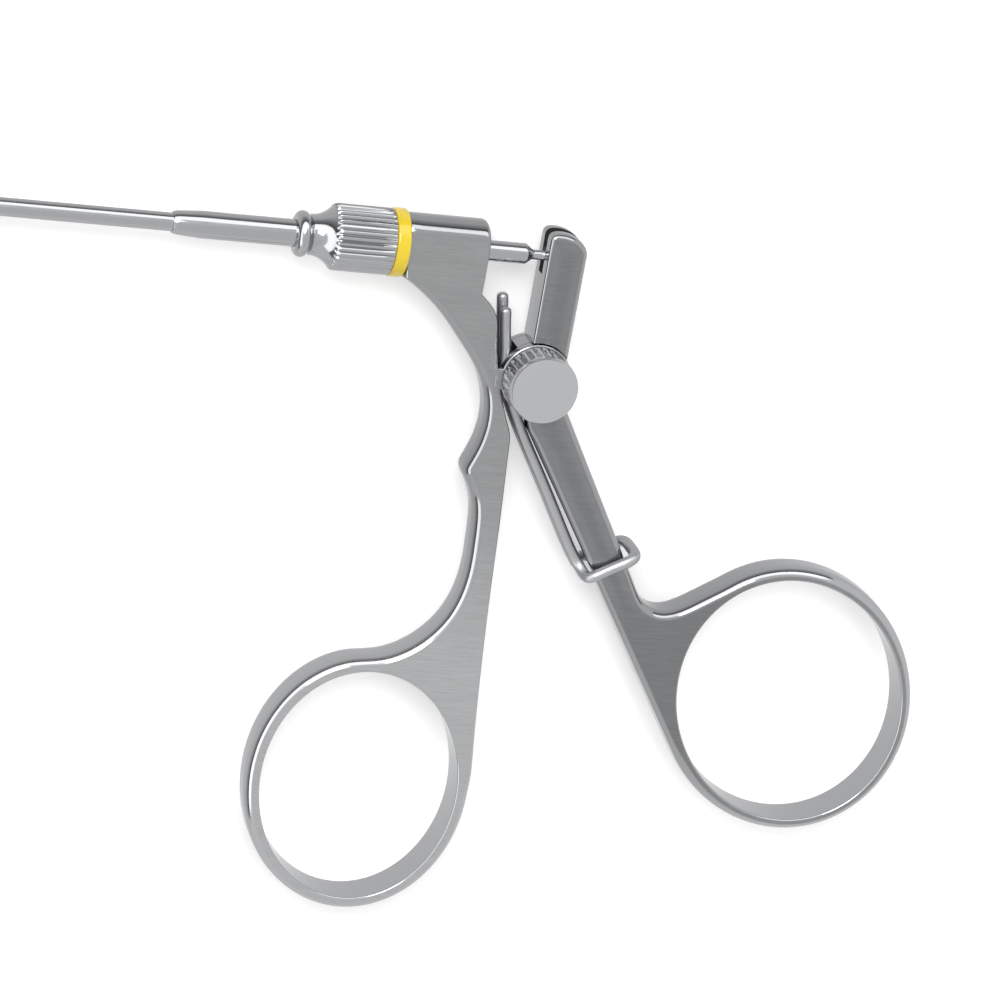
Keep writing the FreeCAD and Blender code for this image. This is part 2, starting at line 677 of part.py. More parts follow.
def lever_outline(sketch):
    """Outline of the lever: rounded head, upper arm, tongue, slanted lower arm and thumb ring."""
    front = pivot_x.value - size("arm_front").value
    rear = front + size("arm_width").value
    top = size("arm_top").value
    px, py = pivot_x.value, pivot_y.value
    boss = size("boss_radius").value
    wide = size("lower_width").value
    thin = size("lower_width_end").value
    ahead = size("tongue_front").value
    wall = size("thumb_wall").value
    shape = oval(thumb_centre(), half("thumb_hole_long").value + wall,
                 half("thumb_hole_short").value + wall, -size("lower_slant").value)
    spot = FreeCAD.Vector
    meet = spot(front, py + math.sqrt(boss ** 2 - size("arm_front").value ** 2), 0)
    crest = spot(px - boss * math.sin(math.radians(26)), py + boss * math.cos(math.radians(26)), 0)
    shoulder = spot(px - boss * math.sin(math.radians(37)), py + boss * math.cos(math.radians(37)), 0)
    notch_low = along_lower(3.4, 0.8)
    edge_top = along_lower(7.3, 0.0)
    touch = along_lower(size("thumb_reach").value, 0.0)
    near = size("thumb_reach").value - half("thumb_hole_long").value - wall
    deep = half("thumb_hole_short").value + wall
    last = along_lower(near - 6.4, thin)
    bend = (rear - 0.2, py - 2.4)
    straight(sketch, [(front, top - 0.3), (meet.x, meet.y)])
    sketch.addGeometry(Part.Arc(meet, crest, shoulder), False)
    straight(sketch, [(shoulder.x, shoulder.y), (px - ahead, py + 1.2), (px - ahead, py - 0.7),
                      (notch_low.x, notch_low.y), (edge_top.x, edge_top.y), (touch.x, touch.y)])
    oval_arc(sketch, shape, -90, 183)
    joint, inward = oval_end(shape, 183)
    up_arm = along_lower(0.0, 0.0) - along_lower(1.0, 0.0)
    crook = [joint, along_lower(near + 0.1, deep - 6.3), along_lower(near, deep - 9.6),
             along_lower(near - 0.7, thin + 2.5), along_lower(near - 2.2, thin + 0.9),
             along_lower(near - 4.2, thin + 0.1), last]
    smooth(sketch, [(p.x, p.y) for p in crook], inward, up_arm)
    straight(sketch, [(last.x, last.y), bend, (rear, 0.2)])
    sketch.addGeometry(Part.Arc(spot(rear, 0.2, 0), spot(rear - 2.4, top - 0.55, 0),
                                spot(front, top - 0.3, 0)), False)


def thumb_centre():
    """Centre of the thumb ring, tangent to the lower arm's front edge."""
    across = half("thumb_hole_short").value + size("thumb_wall").value
    return along_lower(size("thumb_reach").value, across)


def lever():
    """Moving lever: slotted head, pivot tongue, slanted arm and thumb ring."""
    owner = body("lever")
    arm = sketch_on(owner, "lever_arm", "XY_Plane")
    lever_outline(arm)
    ellipse(arm, thumb_centre(), half("thumb_hole_long").value, half("thumb_hole_short").value,
            -size("lower_slant").value)
    pad(owner, arm, size("plate_thickness"))

    def is_rim(edge):
        box = edge.BoundBox
        return box.ZMax * box.ZMin > 0 and box.YMax < pivot_y.value - 6.0 and edge.Length > 0.3

    break_edges(owner, size("edge_bevel"), is_rim)
    # round recesses take the handle's ears and leave the tongue between them
    for name, sign in (("near", 1), ("far", -1)):
        recess = sketch_on(owner, name + "_recess", "XY_Plane", tongue_half * sign)
        circle(recess, pivot_x, pivot_y, size("boss_radius") + size("recess_gap"))
        cut = pocket(owner, recess, plate_half - tongue_half + 1, middle=False)
        cut.Reversed = sign > 0
    yoke = sketch_on(owner, "yoke", "XY_Plane")
    front, rear = pivot_x - size("arm_front") - 1, pivot_x - size("arm_front") + size("arm_width") + 1
    floor, above = -size("yoke_depth"), size("arm_top") + 1
    outline(yoke, [(front, floor), (rear, floor), (rear, above), (front, above)])
    pocket(owner, yoke, size("yoke_slot"))
    # the ball drops in from above and rests in a round seat a little below the axis
    seat = sketch_on(owner, "ball_seat", "XZ_Plane", half("ball_diameter") + 0.2)
    circle(seat, pivot_x + size("ball_setback"), zero, half("ball_diameter") + 0.1)
    pocket(owner, seat, middle=False)
    eye = sketch_on(owner, "tongue_eye", "XY_Plane")
    circle(eye, pivot_x, pivot_y, shank_r + size("run_gap") + size("pivot_bush_wall") + size("braze_gap"))
    pocket(owner, eye)
    return owner


def pivot_screw():
    """Knurled pivot screw: shank and thread below, fluted head above."""
    owner = body("pivot_screw")
    section = sketch_on(owner, "screw_section", "XZ_Plane")
    seat = plate_half + size("face_gap")
    top = seat + size("knob_height")
    radius = half("knob_diameter")
    cut = size("knob_chamfer")
    neck = -slot_half + 0.1
    outline(section, [
        (zero, -plate_half), (thread_r, -plate_half), (thread_r, neck), (shank_r, neck),
        (shank_r, seat), (radius - 0.2, seat), (radius, seat + 0.2), (radius, top - cut),
        (radius - cut, top), (zero, top),
    ])
    turned(owner, section, axis="V_Axis")
    flute = sketch_on(owner, "knob_flute", "XY_Plane", seat + size("knob_collar"))
    notch(flute, radius, size("knob_flute_width"), size("knob_flute_depth"))
    cutting = pocket(owner, flute, size("knob_height"), middle=False)
    cutting.Reversed = True
    repeat_round(owner, cutting, "Z_Axis", size("knob_flute_count"))
    owner.setExpression(".Placement.Base.x", pivot_x.formula)
    owner.setExpression(".Placement.Base.y", pivot_y.formula)
    return owner


def spring_leg(sign, top):
    """Corners of one spring leg from its tip to the middle of the bend behind the lever."""
    px, py = PIVOT.x, PIVOT.y
    wire = size("spring_wire").value
    side = sign * (wire + size("spring_leg_gap").value) / 2
    wide = sign * (plate_half.value + wire / 2 + size("spring_side_gap").value)
    behind = size("lower_width_end").value + wire / 2 + size("spring_behind").value
    reach = size("spring_reach").value
    low = along_lower(reach - wire, -1.5)
    turn = along_lower(reach - 0.1, -1.2)
    back = along_lower(reach + 0.5, behind)
    return [
        (FreeCAD.Vector(px - 4.75 - 0.17 * (top - 3.4), py + top, side), 0.0),
        (FreeCAD.Vector(px - 4.75, py + 3.4, side), 20.0),
        (FreeCAD.Vector(px - 3.85, py - 1.9, side), 12.0),
        (along_lower(7.5, -0.96) + FreeCAD.Vector(0, 0, side), 10.0),
        (low + FreeCAD.Vector(0, 0, side), 3.0),
        (turn + FreeCAD.Vector(0, 0, wide), 1.3),
        (back + FreeCAD.Vector(0, 0, wide), 2.6),
    ]


def rounded_path(corners):
    """Wire of straight runs joined by tangent arcs; a corner is (point, radius)."""
    edges = []
    last = corners[0][0]
    for before, (point, radius), after in zip(corners, corners[1:], corners[2:]):
        to_before = (before[0] - point).normalize()
        to_after = (after[0] - point).normalize()
        opening = to_before.getAngle(to_after)
        cut = radius / math.tan(opening / 2)
        room = 0.48 * min((before[0] - point).Length, (after[0] - point).Length)
        cut = min(cut, room)
        radius = cut * math.tan(opening / 2)
        start, end = point + to_before * cut, point + to_after * cut
        inward = (to_before + to_after).normalize()
        middle = point + inward * (radius / math.sin(opening / 2) - radius)
        edges.append(Part.LineSegment(last, start).toShape())
        edges.append(Part.Arc(start, middle, end).toShape())
        last = end
    edges.append(Part.LineSegment(last, corners[-1][0]).toShape())
    return Part.Wire(edges)


def return_spring():
    """Hairpin return spring: two legs up to the handle, one closed bend round the lever."""
    near = spring_leg(1, size("spring_top").value)
    far = spring_leg(-1, size("spring_far_top").value)
    path = rounded_path(near + far[::-1])
    radius = half("spring_wire").value
    start = path.Edges[0]
    heading = start.tangentAt(start.FirstParameter)
    ring = Part.Wire(Part.Circle(start.valueAt(start.FirstParameter), heading, radius).toShape())
    solid = path.makePipeShell([ring], True, False)
    made = doc.addObject("Part::Feature", "return_spring")
    made.Shape = solid
    made.Label = "return_spring"
    return made


def clevis():
    """Forked tip of the shaft with a spigot inside the tube."""
    rear = tube_front + size("clevis_spigot")
    tip = jaw_pivot - 1.35
    spigot = bore_r - size("braze_gap")
    passage = drive_r + size("run_gap")
    neck = half("braze_groove_diameter")
    owner = turned_body("jaw_clevis", [
        (tip, passage), (rear, passage), (rear, spigot), (tube_front, spigot), (tube_front, neck),
        (tube_front - size("braze_groove"), neck), (tube_front - size("braze_groove"), clevis_r), (tip, clevis_r),
    ])
    slot = sketch_on(owner, "cheek_gap", "XZ_Plane")
    gap = half("clevis_slot")
    floor = jaw_pivot + 6.6
    outline(slot, [(tip - 1, -gap), (floor, -gap), (floor, gap), (tip - 1, gap)])
    pocket(owner, slot)
    nose = sketch_on(owner, "cheek_nose", "XY_Plane")
    reach = tip - 1
    outline(nose, [
        (jaw_pivot, clevis_r, clevis_r, 1), (jaw_pivot - clevis_r, zero, clevis_r, 1), (jaw_pivot, -clevis_r),
        (jaw_pivot, -clevis_r - 1), (reach, -clevis_r - 1), (reach, clevis_r + 1), (jaw_pivot, clevis_r + 1),
    ])
    pocket(owner, nose)
    eye = sketch_on(owner, "pin_eye", "XY_Plane")
    circle(eye, jaw_pivot, zero, half("jaw_pin_diameter") + size("braze_gap"))
    pocket(owner, eye)
    return owner


def cam_travel():
    """Rod travel for the full lever swing, from the ball's place over the pivot."""
    setback = size("ball_setback").value
    arm = size("pivot_below").value
    rest = math.atan2(setback, arm)
    return arm * math.tan(rest + math.radians(size("lever_swing").value)) - setback


def cam_slot_face(side, widen):
    """Face of the cam slot in the closed jaw, widened round the cross pin's path."""
    steps = 8
    travel = cam_travel()
    start = size("cam_start").value
    opening = math.radians(size("jaw_open").value)
    reach = half("drive_pin_diameter").value + widen
    middle, normals = [], []
    for n in range(steps + 1):
        share = n / steps
        distance = start + travel * share
        turn = opening * (1 - share) * side
        middle.append(FreeCAD.Vector(distance * math.cos(turn), distance * math.sin(turn), 0))
        speed = FreeCAD.Vector(
            travel * math.cos(turn) + distance * opening * side * math.sin(turn),
            travel * math.sin(turn) - distance * opening * side * math.cos(turn), 0)
        normals.append(FreeCAD.Vector(-speed.y, speed.x, 0).normalize())
    upper = [m + n * reach for m, n in zip(middle, normals)]
    lower = [m - n * reach for m, n in zip(middle, normals)]
    ahead = FreeCAD.Vector(normals[0].y, -normals[0].x, 0)
    beyond = FreeCAD.Vector(normals[-1].y, -normals[-1].x, 0)
    top, bottom = Part.BSplineCurve(), Part.BSplineCurve()
    top.interpolate(upper)
    bottom.interpolate(lower)
    rounded_start = Part.Arc(upper[0], middle[0] - ahead * reach, lower[0])
    rounded_end = Part.Arc(upper[-1], middle[-1] + beyond * reach, lower[-1])
    wire = Part.Wire(Part.__sortEdges__([c.toShape() for c in (top, bottom, rounded_start, rounded_end)]))
    return Part.Face(wire)


def jaw(label, side):
    """One jaw, shaped closed and turned open: half-round nose, teeth, flat tail, cam slot."""
    radius = clevis_r.value
    length = size("jaw_length").value
    thick = size("tail_thickness").value
    blade = size("blade_thickness").value / 2 + size("run_gap").value
    pitch = size("tooth_pitch").value
    depth = size("tooth_depth").value
    heel = radius + 0.25
    nose = 1.1
    up = FreeCAD.Vector(0, 0, 1)
    # half-round beak with a rounded nose, tapering a little towards its tip
    blunt = 0.85
    front = FreeCAD.Vector(-length, 0, 0)
    shoulder = FreeCAD.Vector(-length + blunt, radius - 0.4, 0)
    bulge = FreeCAD.Vector(-length + 0.26, (radius - 0.4) * 0.68, 0)
    rear = FreeCAD.Vector(0, radius, 0)
    wire = Part.Wire([
        Part.Arc(front, bulge, shoulder).toShape(), Part.LineSegment(shoulder, rear).toShape(),
        Part.LineSegment(rear, FreeCAD.Vector(0, 0, 0)).toShape(),
        Part.LineSegment(FreeCAD.Vector(0, 0, 0), front).toShape(),
    ])
    whole = Part.Face(wire).revolve(FreeCAD.Vector(0, 0, 0), FreeCAD.Vector(1, 0, 0), 360)
    gap = 0.05
    upper_half = Part.makeBox(length + 2, radius + 1, 4 * radius, FreeCAD.Vector(-length - 1, gap, -2 * radius))
    beak = whole.common(upper_half)
    beak = beak.cut(Part.makeCylinder(heel, 4 * radius, FreeCAD.Vector(0, 0, -2 * radius), up))
    # serrations across the biting face
    teeth = []
    count = int((length - heel - nose) / pitch)
    for n in range(count):
        x = -heel - 0.5 - n * pitch
        corners = [FreeCAD.Vector(x, gap - 0.1, -2 * radius), FreeCAD.Vector(x - pitch, gap - 0.1, -2 * radius),
                   FreeCAD.Vector(x - pitch / 2, gap + depth, -2 * radius)]
        notch = Part.Face(Part.makePolygon(corners + corners[:1]))
        teeth.append(notch.extrude(up * 4 * radius))
    beak = beak.cut(Part.makeCompound(teeth))
    # flat tail from the beak's heel, round the pivot, to the end of the cam slot
    wall = size("cam_wall").value
    tail_face = cam_slot_face(1, size("run_gap").value + wall)
    tail = tail_face.extrude(up * thick)
    disc = Part.makeCylinder(0.95, thick, FreeCAD.Vector(0, 0, 0), up)
    neck = Part.makeBox(heel + 1.4, 0.9, thick, FreeCAD.Vector(-heel - 1.4, gap, 0))
    tail = tail.fuse([disc, neck])
    tail.translate(up * blade)
    solid = beak.fuse(tail)
    slot = cam_slot_face(1, size("run_gap").value).extrude(up * (thick + 2))
    slot.translate(up * (blade - 1))
    eye = Part.makeCylinder(half("jaw_pin_diameter").value + size("run_gap").value, 2 * thick + 2,
                            FreeCAD.Vector(0, 0, blade - thick - 1), up)
    solid = solid.cut(slot.fuse(eye)).removeSplitter()
    if side < 0:
        # the lower jaw is the upper one turned half a turn about the shaft axis
        solid.rotate(FreeCAD.Vector(0, 0, 0), FreeCAD.Vector(1, 0, 0), 180)
    solid.rotate(FreeCAD.Vector(0, 0, 0), up, -side * size("jaw_open").value)
    made = doc.addObject("Part::Feature", label)
    made.Shape = solid
    made.Label = label
    made.setExpression(".Placement.Base.x", jaw_pivot.formula)
    return made


def drive_rod():
    """Long thin rod through the tube, milled to a flat blade at its front."""
    front = jaw_pivot + size("cam_start") + 1.2
    rear = hub_rear - 3.1 + 5.9
    owner = body("drive_rod")
    section = sketch_on(owner, "rod_section", "YZ_Plane", jaw_pivot + 6.9)
    circle(section, zero, zero, drive_r)
    pad(owner, section, rear - jaw_pivot - 6.9, middle=False)
    blade = sketch_on(owner, "blade", "XY_Plane")
    tip = jaw_pivot + size("cam_start")
    tall = drive_r - 0.05
    outline(blade, [
        (tip, -tall, drive_r, -1), (tip, tall), (jaw_pivot + 8.4, tall), (jaw_pivot + 8.4, -tall),
    ])
    pad(owner, blade, size("blade_thickness"))
    eye = sketch_on(owner, "cross_eye", "XY_Plane")
    circle(eye, tip, zero, half("drive_pin_diameter") + size("braze_gap"))
    pocket(owner, eye)
    return owner


def retaining_clip():
    """Open clip in the hub's groove, behind the barrel bush."""
    inner = hub_r - 0.3 + size("braze_gap")
    outer = bush_out - 0.15
    station = hub_rear - 0.68
    ring = ring_of("clip_ring", inner, outer, station, size("clip_thickness"))
    gap = doc.addObject("Part::Box", "clip_gap")
    gap.Label = "clip_gap"
    gap.setExpression("Length", (size("clip_thickness") + 2).formula)
    gap.Width = 2.2
    gap.Height = 6
    gap.setExpression(".Placement.Base.x", (station - 1).formula)
    gap.Placement.Base.y = -1.1
    gap.Placement.Base.z = -6
    made = doc.addObject("Part::Cut", "retaining_clip")
    made.Base = ring
    made.Tool = gap
    made.Label = "retaining_clip"
    return made


def small_parts():
    """Bushes, seals and pins."""
    gland_inner = rod_r + size("run_gap")
    cord = half("seal_cord")
    pin_long = half("clevis_slot") - 0.02
    eye = shank_r + size("run_gap")
    pin_r = half("jaw_pin_diameter")
    return [
        ring_of("barrel_bush", bush_in, bush_out, barrel_front, size("bush_length")),
        ring_of("rod_gland", gland_inner, half("gland_diameter"), gland_front, size("gland_length")),
        seal_ring("rod_seal", rod_r + cord + 0.02, cord, seal_front + cord + 0.02),
        seal_ring("hub_seal", hub_r - 0.26, as_size(0.27), barrel_front + 1.3),
        ring_of("pivot_bush", eye, eye + size("pivot_bush_wall"), -tongue_half, size("tongue_thickness"),
                "Z", (pivot_x, pivot_y)),
        cylinder("drive_pin", half("drive_pin_diameter"), -pin_long, pin_long * 2, "Z",
                 (jaw_pivot + size("cam_start"), zero)),
        cylinder("jaw_pivot_pin", pin_r, -clevis_r + 0.1, clevis_r * 2 - 0.2, "Z", (jaw_pivot, zero)),
    ]


nodes = [
    fixed_handle(), lever(), pivot_screw(), return_spring(),
    outer_tube(), shaft_sleeve(), rotation_wheel(), wheel_hub(), colour_ring(), retaining_clip(),
    rod_end(), drive_rod(), clevis(), jaw("upper_jaw", 1), jaw("lower_jaw", -1),
]
nodes += small_parts()
doc.recompute()

for thing in doc.Objects:
    if "Invalid" in thing.State or "Error" in thing.State:
        raise RuntimeError("%s did not build: %s" % (thing.Name, thing.State))
for node in nodes:
    if node.Shape.isNull() or not node.Shape.isValid():
        raise RuntimeError("%s has no valid shape" % node.Label)

os.makedirs("parts", exist_ok=True)
for node in nodes:
    node.Shape.exportStep("parts/%s.step" % node.Label)
    print("%-18s %10.3f mm3  %d solid(s)" % (node.Label, node.Shape.Volume, len(node.Shape.Solids)))
print("rod travel %.4f mm, ratio %.6f m per rad" % (
    cam_travel(), cam_travel() / 1000 / math.radians(size("lever_swing").value)))
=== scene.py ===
"""Ring-handled laparoscopic grasper, photographed on a white sweep with its pivot screw upwards.

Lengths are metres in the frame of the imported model: X runs along the shaft towards the hand,
Y from the finger rings up to the shaft, Z out of the handle's flat side. Shapes are worked out in
millimetres and become metres when they are put into a mesh.
"""
import math

import bmesh
import bpy
import numpy as np
from mathutils import Matrix, Vector
from mathutils.geometry import delaunay_2d_cdt


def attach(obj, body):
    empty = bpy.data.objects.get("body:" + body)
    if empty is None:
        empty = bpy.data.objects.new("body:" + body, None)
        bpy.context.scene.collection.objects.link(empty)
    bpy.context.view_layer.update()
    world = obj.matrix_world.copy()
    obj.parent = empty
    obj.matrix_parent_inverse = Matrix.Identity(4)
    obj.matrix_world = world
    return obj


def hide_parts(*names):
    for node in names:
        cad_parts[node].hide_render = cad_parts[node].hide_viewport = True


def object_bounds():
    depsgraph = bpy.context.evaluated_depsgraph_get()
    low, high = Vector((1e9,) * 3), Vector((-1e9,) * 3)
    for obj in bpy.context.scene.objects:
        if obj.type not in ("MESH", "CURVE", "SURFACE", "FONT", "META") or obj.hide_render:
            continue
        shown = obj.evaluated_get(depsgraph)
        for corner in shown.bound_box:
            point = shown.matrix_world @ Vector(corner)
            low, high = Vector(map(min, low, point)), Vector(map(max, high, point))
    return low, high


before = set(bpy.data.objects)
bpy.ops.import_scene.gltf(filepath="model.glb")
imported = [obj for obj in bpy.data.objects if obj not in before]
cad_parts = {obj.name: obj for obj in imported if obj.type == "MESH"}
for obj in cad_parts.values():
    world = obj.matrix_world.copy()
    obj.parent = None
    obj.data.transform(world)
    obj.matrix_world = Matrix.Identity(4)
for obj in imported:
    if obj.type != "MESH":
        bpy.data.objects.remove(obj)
cad_box = [list(corner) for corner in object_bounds()]
MM = 0.001

# Pivot of the lever in the XY plane, and the thickness of the plates
PIVOT = np.array((57.0, -18.2))
PLATE = 3.1
BOSS = 5.4


# Camera, from the photograph's perspective

def place_camera():
    """Camera 0.6 m from the handle; its three axes are given in the object's frame."""
    right = Vector((0.9550, 0.1659, 0.2458)).normalized()
    back = Vector((-0.2884, 0.3269, 0.9000)).normalized()
    up = back.cross(right).normalized()
    right = up.cross(back)
    offset = Vector((-46.857, 39.730, 0.0))
    local = Vector((0.0, 0.0, 600.0)) - offset
    place = right * local.x + up * local.y + back * local.z
    data = bpy.data.cameras.new("photo_camera")
    data.sensor_width = 36.0
    data.lens = 36.0 * 4.2
    data.clip_start = 0.01
    data.clip_end = 10.0
    camera = bpy.data.objects.new("photo_camera", data)
    bpy.context.scene.collection.objects.link(camera)
    turn = Matrix((right, up, back)).transposed()
    camera.matrix_world = Matrix.Translation(place * MM) @ turn.to_4x4()
    bpy.context.scene.camera = camera
    return camera


# Meshes

def mesh_of(name, points, faces):
    """Object from points in millimetres and an array or list of faces."""
    mesh = bpy.data.meshes.new(name)
    mesh.from_pydata((np.asarray(points, float) * MM).tolist(), [], [list(map(int, f)) for f in faces])
    mesh.update()
    made = bpy.data.objects.new(name, mesh)
    bpy.context.scene.collection.objects.link(made)
    return made


def grid_faces(rows, columns, wrap_rows=False, wrap_columns=False):
    """Corner numbers of the quads of a grid of points, row by row."""
    r = np.arange(rows if wrap_rows else rows - 1)
    c = np.arange(columns if wrap_columns else columns - 1)
    r, c = np.meshgrid(r, c, indexing="ij")
    r2, c2 = (r + 1) % rows, (c + 1) % columns
    corners = [r * columns + c, r2 * columns + c, r2 * columns + c2, r * columns + c2]
    return np.stack(corners, -1).reshape(-1, 4)


def tidy(made, angle=32.0, weld=0.0004):
    """Merges doubled points, turns the faces outwards and shades smooth up to an angle in degrees."""
    shape = bmesh.new()
    shape.from_mesh(made.data)
    bmesh.ops.remove_doubles(shape, verts=shape.verts, dist=weld * MM)
    bmesh.ops.recalc_face_normals(shape, faces=shape.faces)
    shape.to_mesh(made.data)
    shape.free()
    made.data.polygons.foreach_set("use_smooth", np.ones(len(made.data.polygons), bool))
    made.data.set_sharp_from_angle(angle=math.radians(angle))
    return made


def combine(made, other, operation):
    """Adds a shape to a piece or cuts it away, and drops the shape."""
    step = made.modifiers.new("shape", "BOOLEAN")
    step.operation = operation
    step.object = other
    step.solver = "EXACT"
    shaped = bpy.data.meshes.new_from_object(made.evaluated_get(bpy.context.evaluated_depsgraph_get()))
    made.modifiers.clear()
    made.data = shaped
    bpy.data.objects.remove(other)
    return made


# Outlines in the XY plane

def spaced(points, step):
    """Points of an open line at even steps, both ends kept."""
    length = np.concatenate([[0.0], np.cumsum(np.linalg.norm(np.diff(points, axis=0), axis=1))])
    count = max(2, int(round(length[-1] / step)) + 1)
    at = np.linspace(0.0, length[-1], count)
    return np.stack([np.interp(at, length, points[:, k]) for k in range(points.shape[1])], -1)


def spline(points, first=None, last=None, fine=24):
    """Cubic spline through points, over chord length; natural ends, or along given directions."""
    points = np.asarray(points, float)
    n = len(points)
    gap = np.linalg.norm(np.diff(points, axis=0), axis=1)
    system = np.zeros((n, n))
    right = np.zeros((n, 2))
    rise = np.diff(points, axis=0) / gap[:, None]
    for k in range(1, n - 1):
        system[k, k - 1:k + 2] = gap[k], 2 * (gap[k - 1] + gap[k]), gap[k - 1]
        right[k] = 3 * (gap[k] * rise[k - 1] + gap[k - 1] * rise[k])
    if first is None:
        system[0, :2] = 2, 1
        right[0] = 3 * rise[0]
    else:
        system[0, 0] = 1
        right[0] = np.asarray(first, float) / np.linalg.norm(first)
    if last is None:
        system[-1, -2:] = 1, 2
        right[-1] = 3 * rise[-1]
    else:
        system[-1, -1] = 1
        right[-1] = np.asarray(last, float) / np.linalg.norm(last)
    slope = np.linalg.solve(system, right)
    t = np.linspace(0, 1, fine, endpoint=False)[:, None]
    runs = []
    for k in range(n - 1):
        a, b, h = points[k], points[k + 1], gap[k]
        runs.append(a * (1 + 2 * t) * (1 - t) ** 2 + b * t * t * (3 - 2 * t)
                    + h * slope[k] * t * (1 - t) ** 2 - h * slope[k + 1] * t * t * (1 - t))
    return np.concatenate(runs + [points[-1:]])


def oval(centre, long_way, short_way, tilt, start, end, count=180):
    """Part of an ellipse between two parameters, with its long way at a tilt; angles in degrees."""
    t = np.radians(np.linspace(start, end, count))
    turn = math.radians(tilt)
    along = np.array((math.cos(turn), math.sin(turn)))
    across = np.array((-math.sin(turn), math.cos(turn)))
    return (np.asarray(centre) + np.cos(t)[:, None] * along * long_way
            + np.sin(t)[:, None] * across * short_way)


def oval_heading(long_way, short_way, tilt, at):
    """Direction of travel along such an ellipse at a parameter in degrees."""
    t, turn = math.radians(at), math.radians(tilt)
    along = np.array((math.cos(turn), math.sin(turn)))
    across = np.array((-math.sin(turn), math.cos(turn)))
    return -math.sin(t) * along * long_way + math.cos(t) * across * short_way


def arc_through(a, b, c, count=24):
    """Circular arc from a through b to c."""
    a, b, c = (complex(*p) for p in (a, b, c))
    w = (c - a) / (b - a)
    centre = (b - a) * (w - abs(w) ** 2) / (2j * w.imag) + a
    start, middle, end = (np.angle(p - centre) for p in (a, b, c))
    sweep = (end - start) % (2 * math.pi)
    if (middle - start) % (2 * math.pi) > sweep:
        sweep -= 2 * math.pi
    t = start + sweep * np.linspace(0, 1, count)
    z = centre + abs(a - centre) * np.exp(1j * t)
    return np.stack([z.real, z.imag], -1)


def closed_outline(runs, step=0.3, blur=5):
    """Closed outline from runs of (points, edge rounding), with the rounding eased along it.

    Returns its points, its inward normals and the rounding at each point.
    """
    points, rounding = [], []
    for run, width in runs:
        run = spaced(np.asarray(run, float), step)[:-1]
        points.append(run)
        rounding.append(np.full(len(run), float(width)))
    points, rounding = np.concatenate(points), np.concatenate(rounding)
    x, y = points.T
    if np.sum(x * np.roll(y, -1) - np.roll(x, -1) * y) < 0:
        points, rounding = points[::-1], rounding[::-1]
    window = np.exp(-0.5 * (np.arange(-3 * blur, 3 * blur + 1) / blur) ** 2)
    window /= window.sum()
    shifts = range(-3 * blur, 3 * blur + 1)
    rounding = sum(w * np.roll(rounding, s) for w, s in zip(window, shifts))
    heading = np.roll(points, -1, 0) - np.roll(points, 1, 0)
    heading /= np.linalg.norm(heading, axis=1)[:, None]
    heading = sum(np.roll(heading, s, 0) for s in (-1, 0, 1))
    heading /= np.linalg.norm(heading, axis=1)[:, None]
    inward = np.stack([-heading[:, 1], heading[:, 0]], -1)
    return points, inward, rounding


def nearest(points, line):
    """Distance from each point to the nearest point of a dense line."""
    found = np.empty(len(points))
    for k in range(0, len(points), 400):
        part = points[k:k + 400]
        found[k:k + 400] = np.sqrt(((part[:, None] - line[None]) ** 2).sum(-1).min(1))
    return found


def within(points, loop):
    """Which points lie inside a closed loop: a ray from each crosses it an odd number of times."""
    a, b = loop, np.roll(loop, -1, 0)
    found = np.empty(len(points), bool)
    for k in range(0, len(points), 800):
        x, y = points[k:k + 800, 0][:, None], points[k:k + 800, 1][:, None]
        spans = (a[:, 1] > y) != (b[:, 1] > y)
        rise = np.where(a[:, 1] == b[:, 1], 1.0, b[:, 1] - a[:, 1])
        ahead = a[:, 0] + (y - a[:, 1]) * (b[:, 0] - a[:, 0]) / rise > x
        found[k:k + 800] = (spans & ahead).sum(1) % 2 == 1
    return found


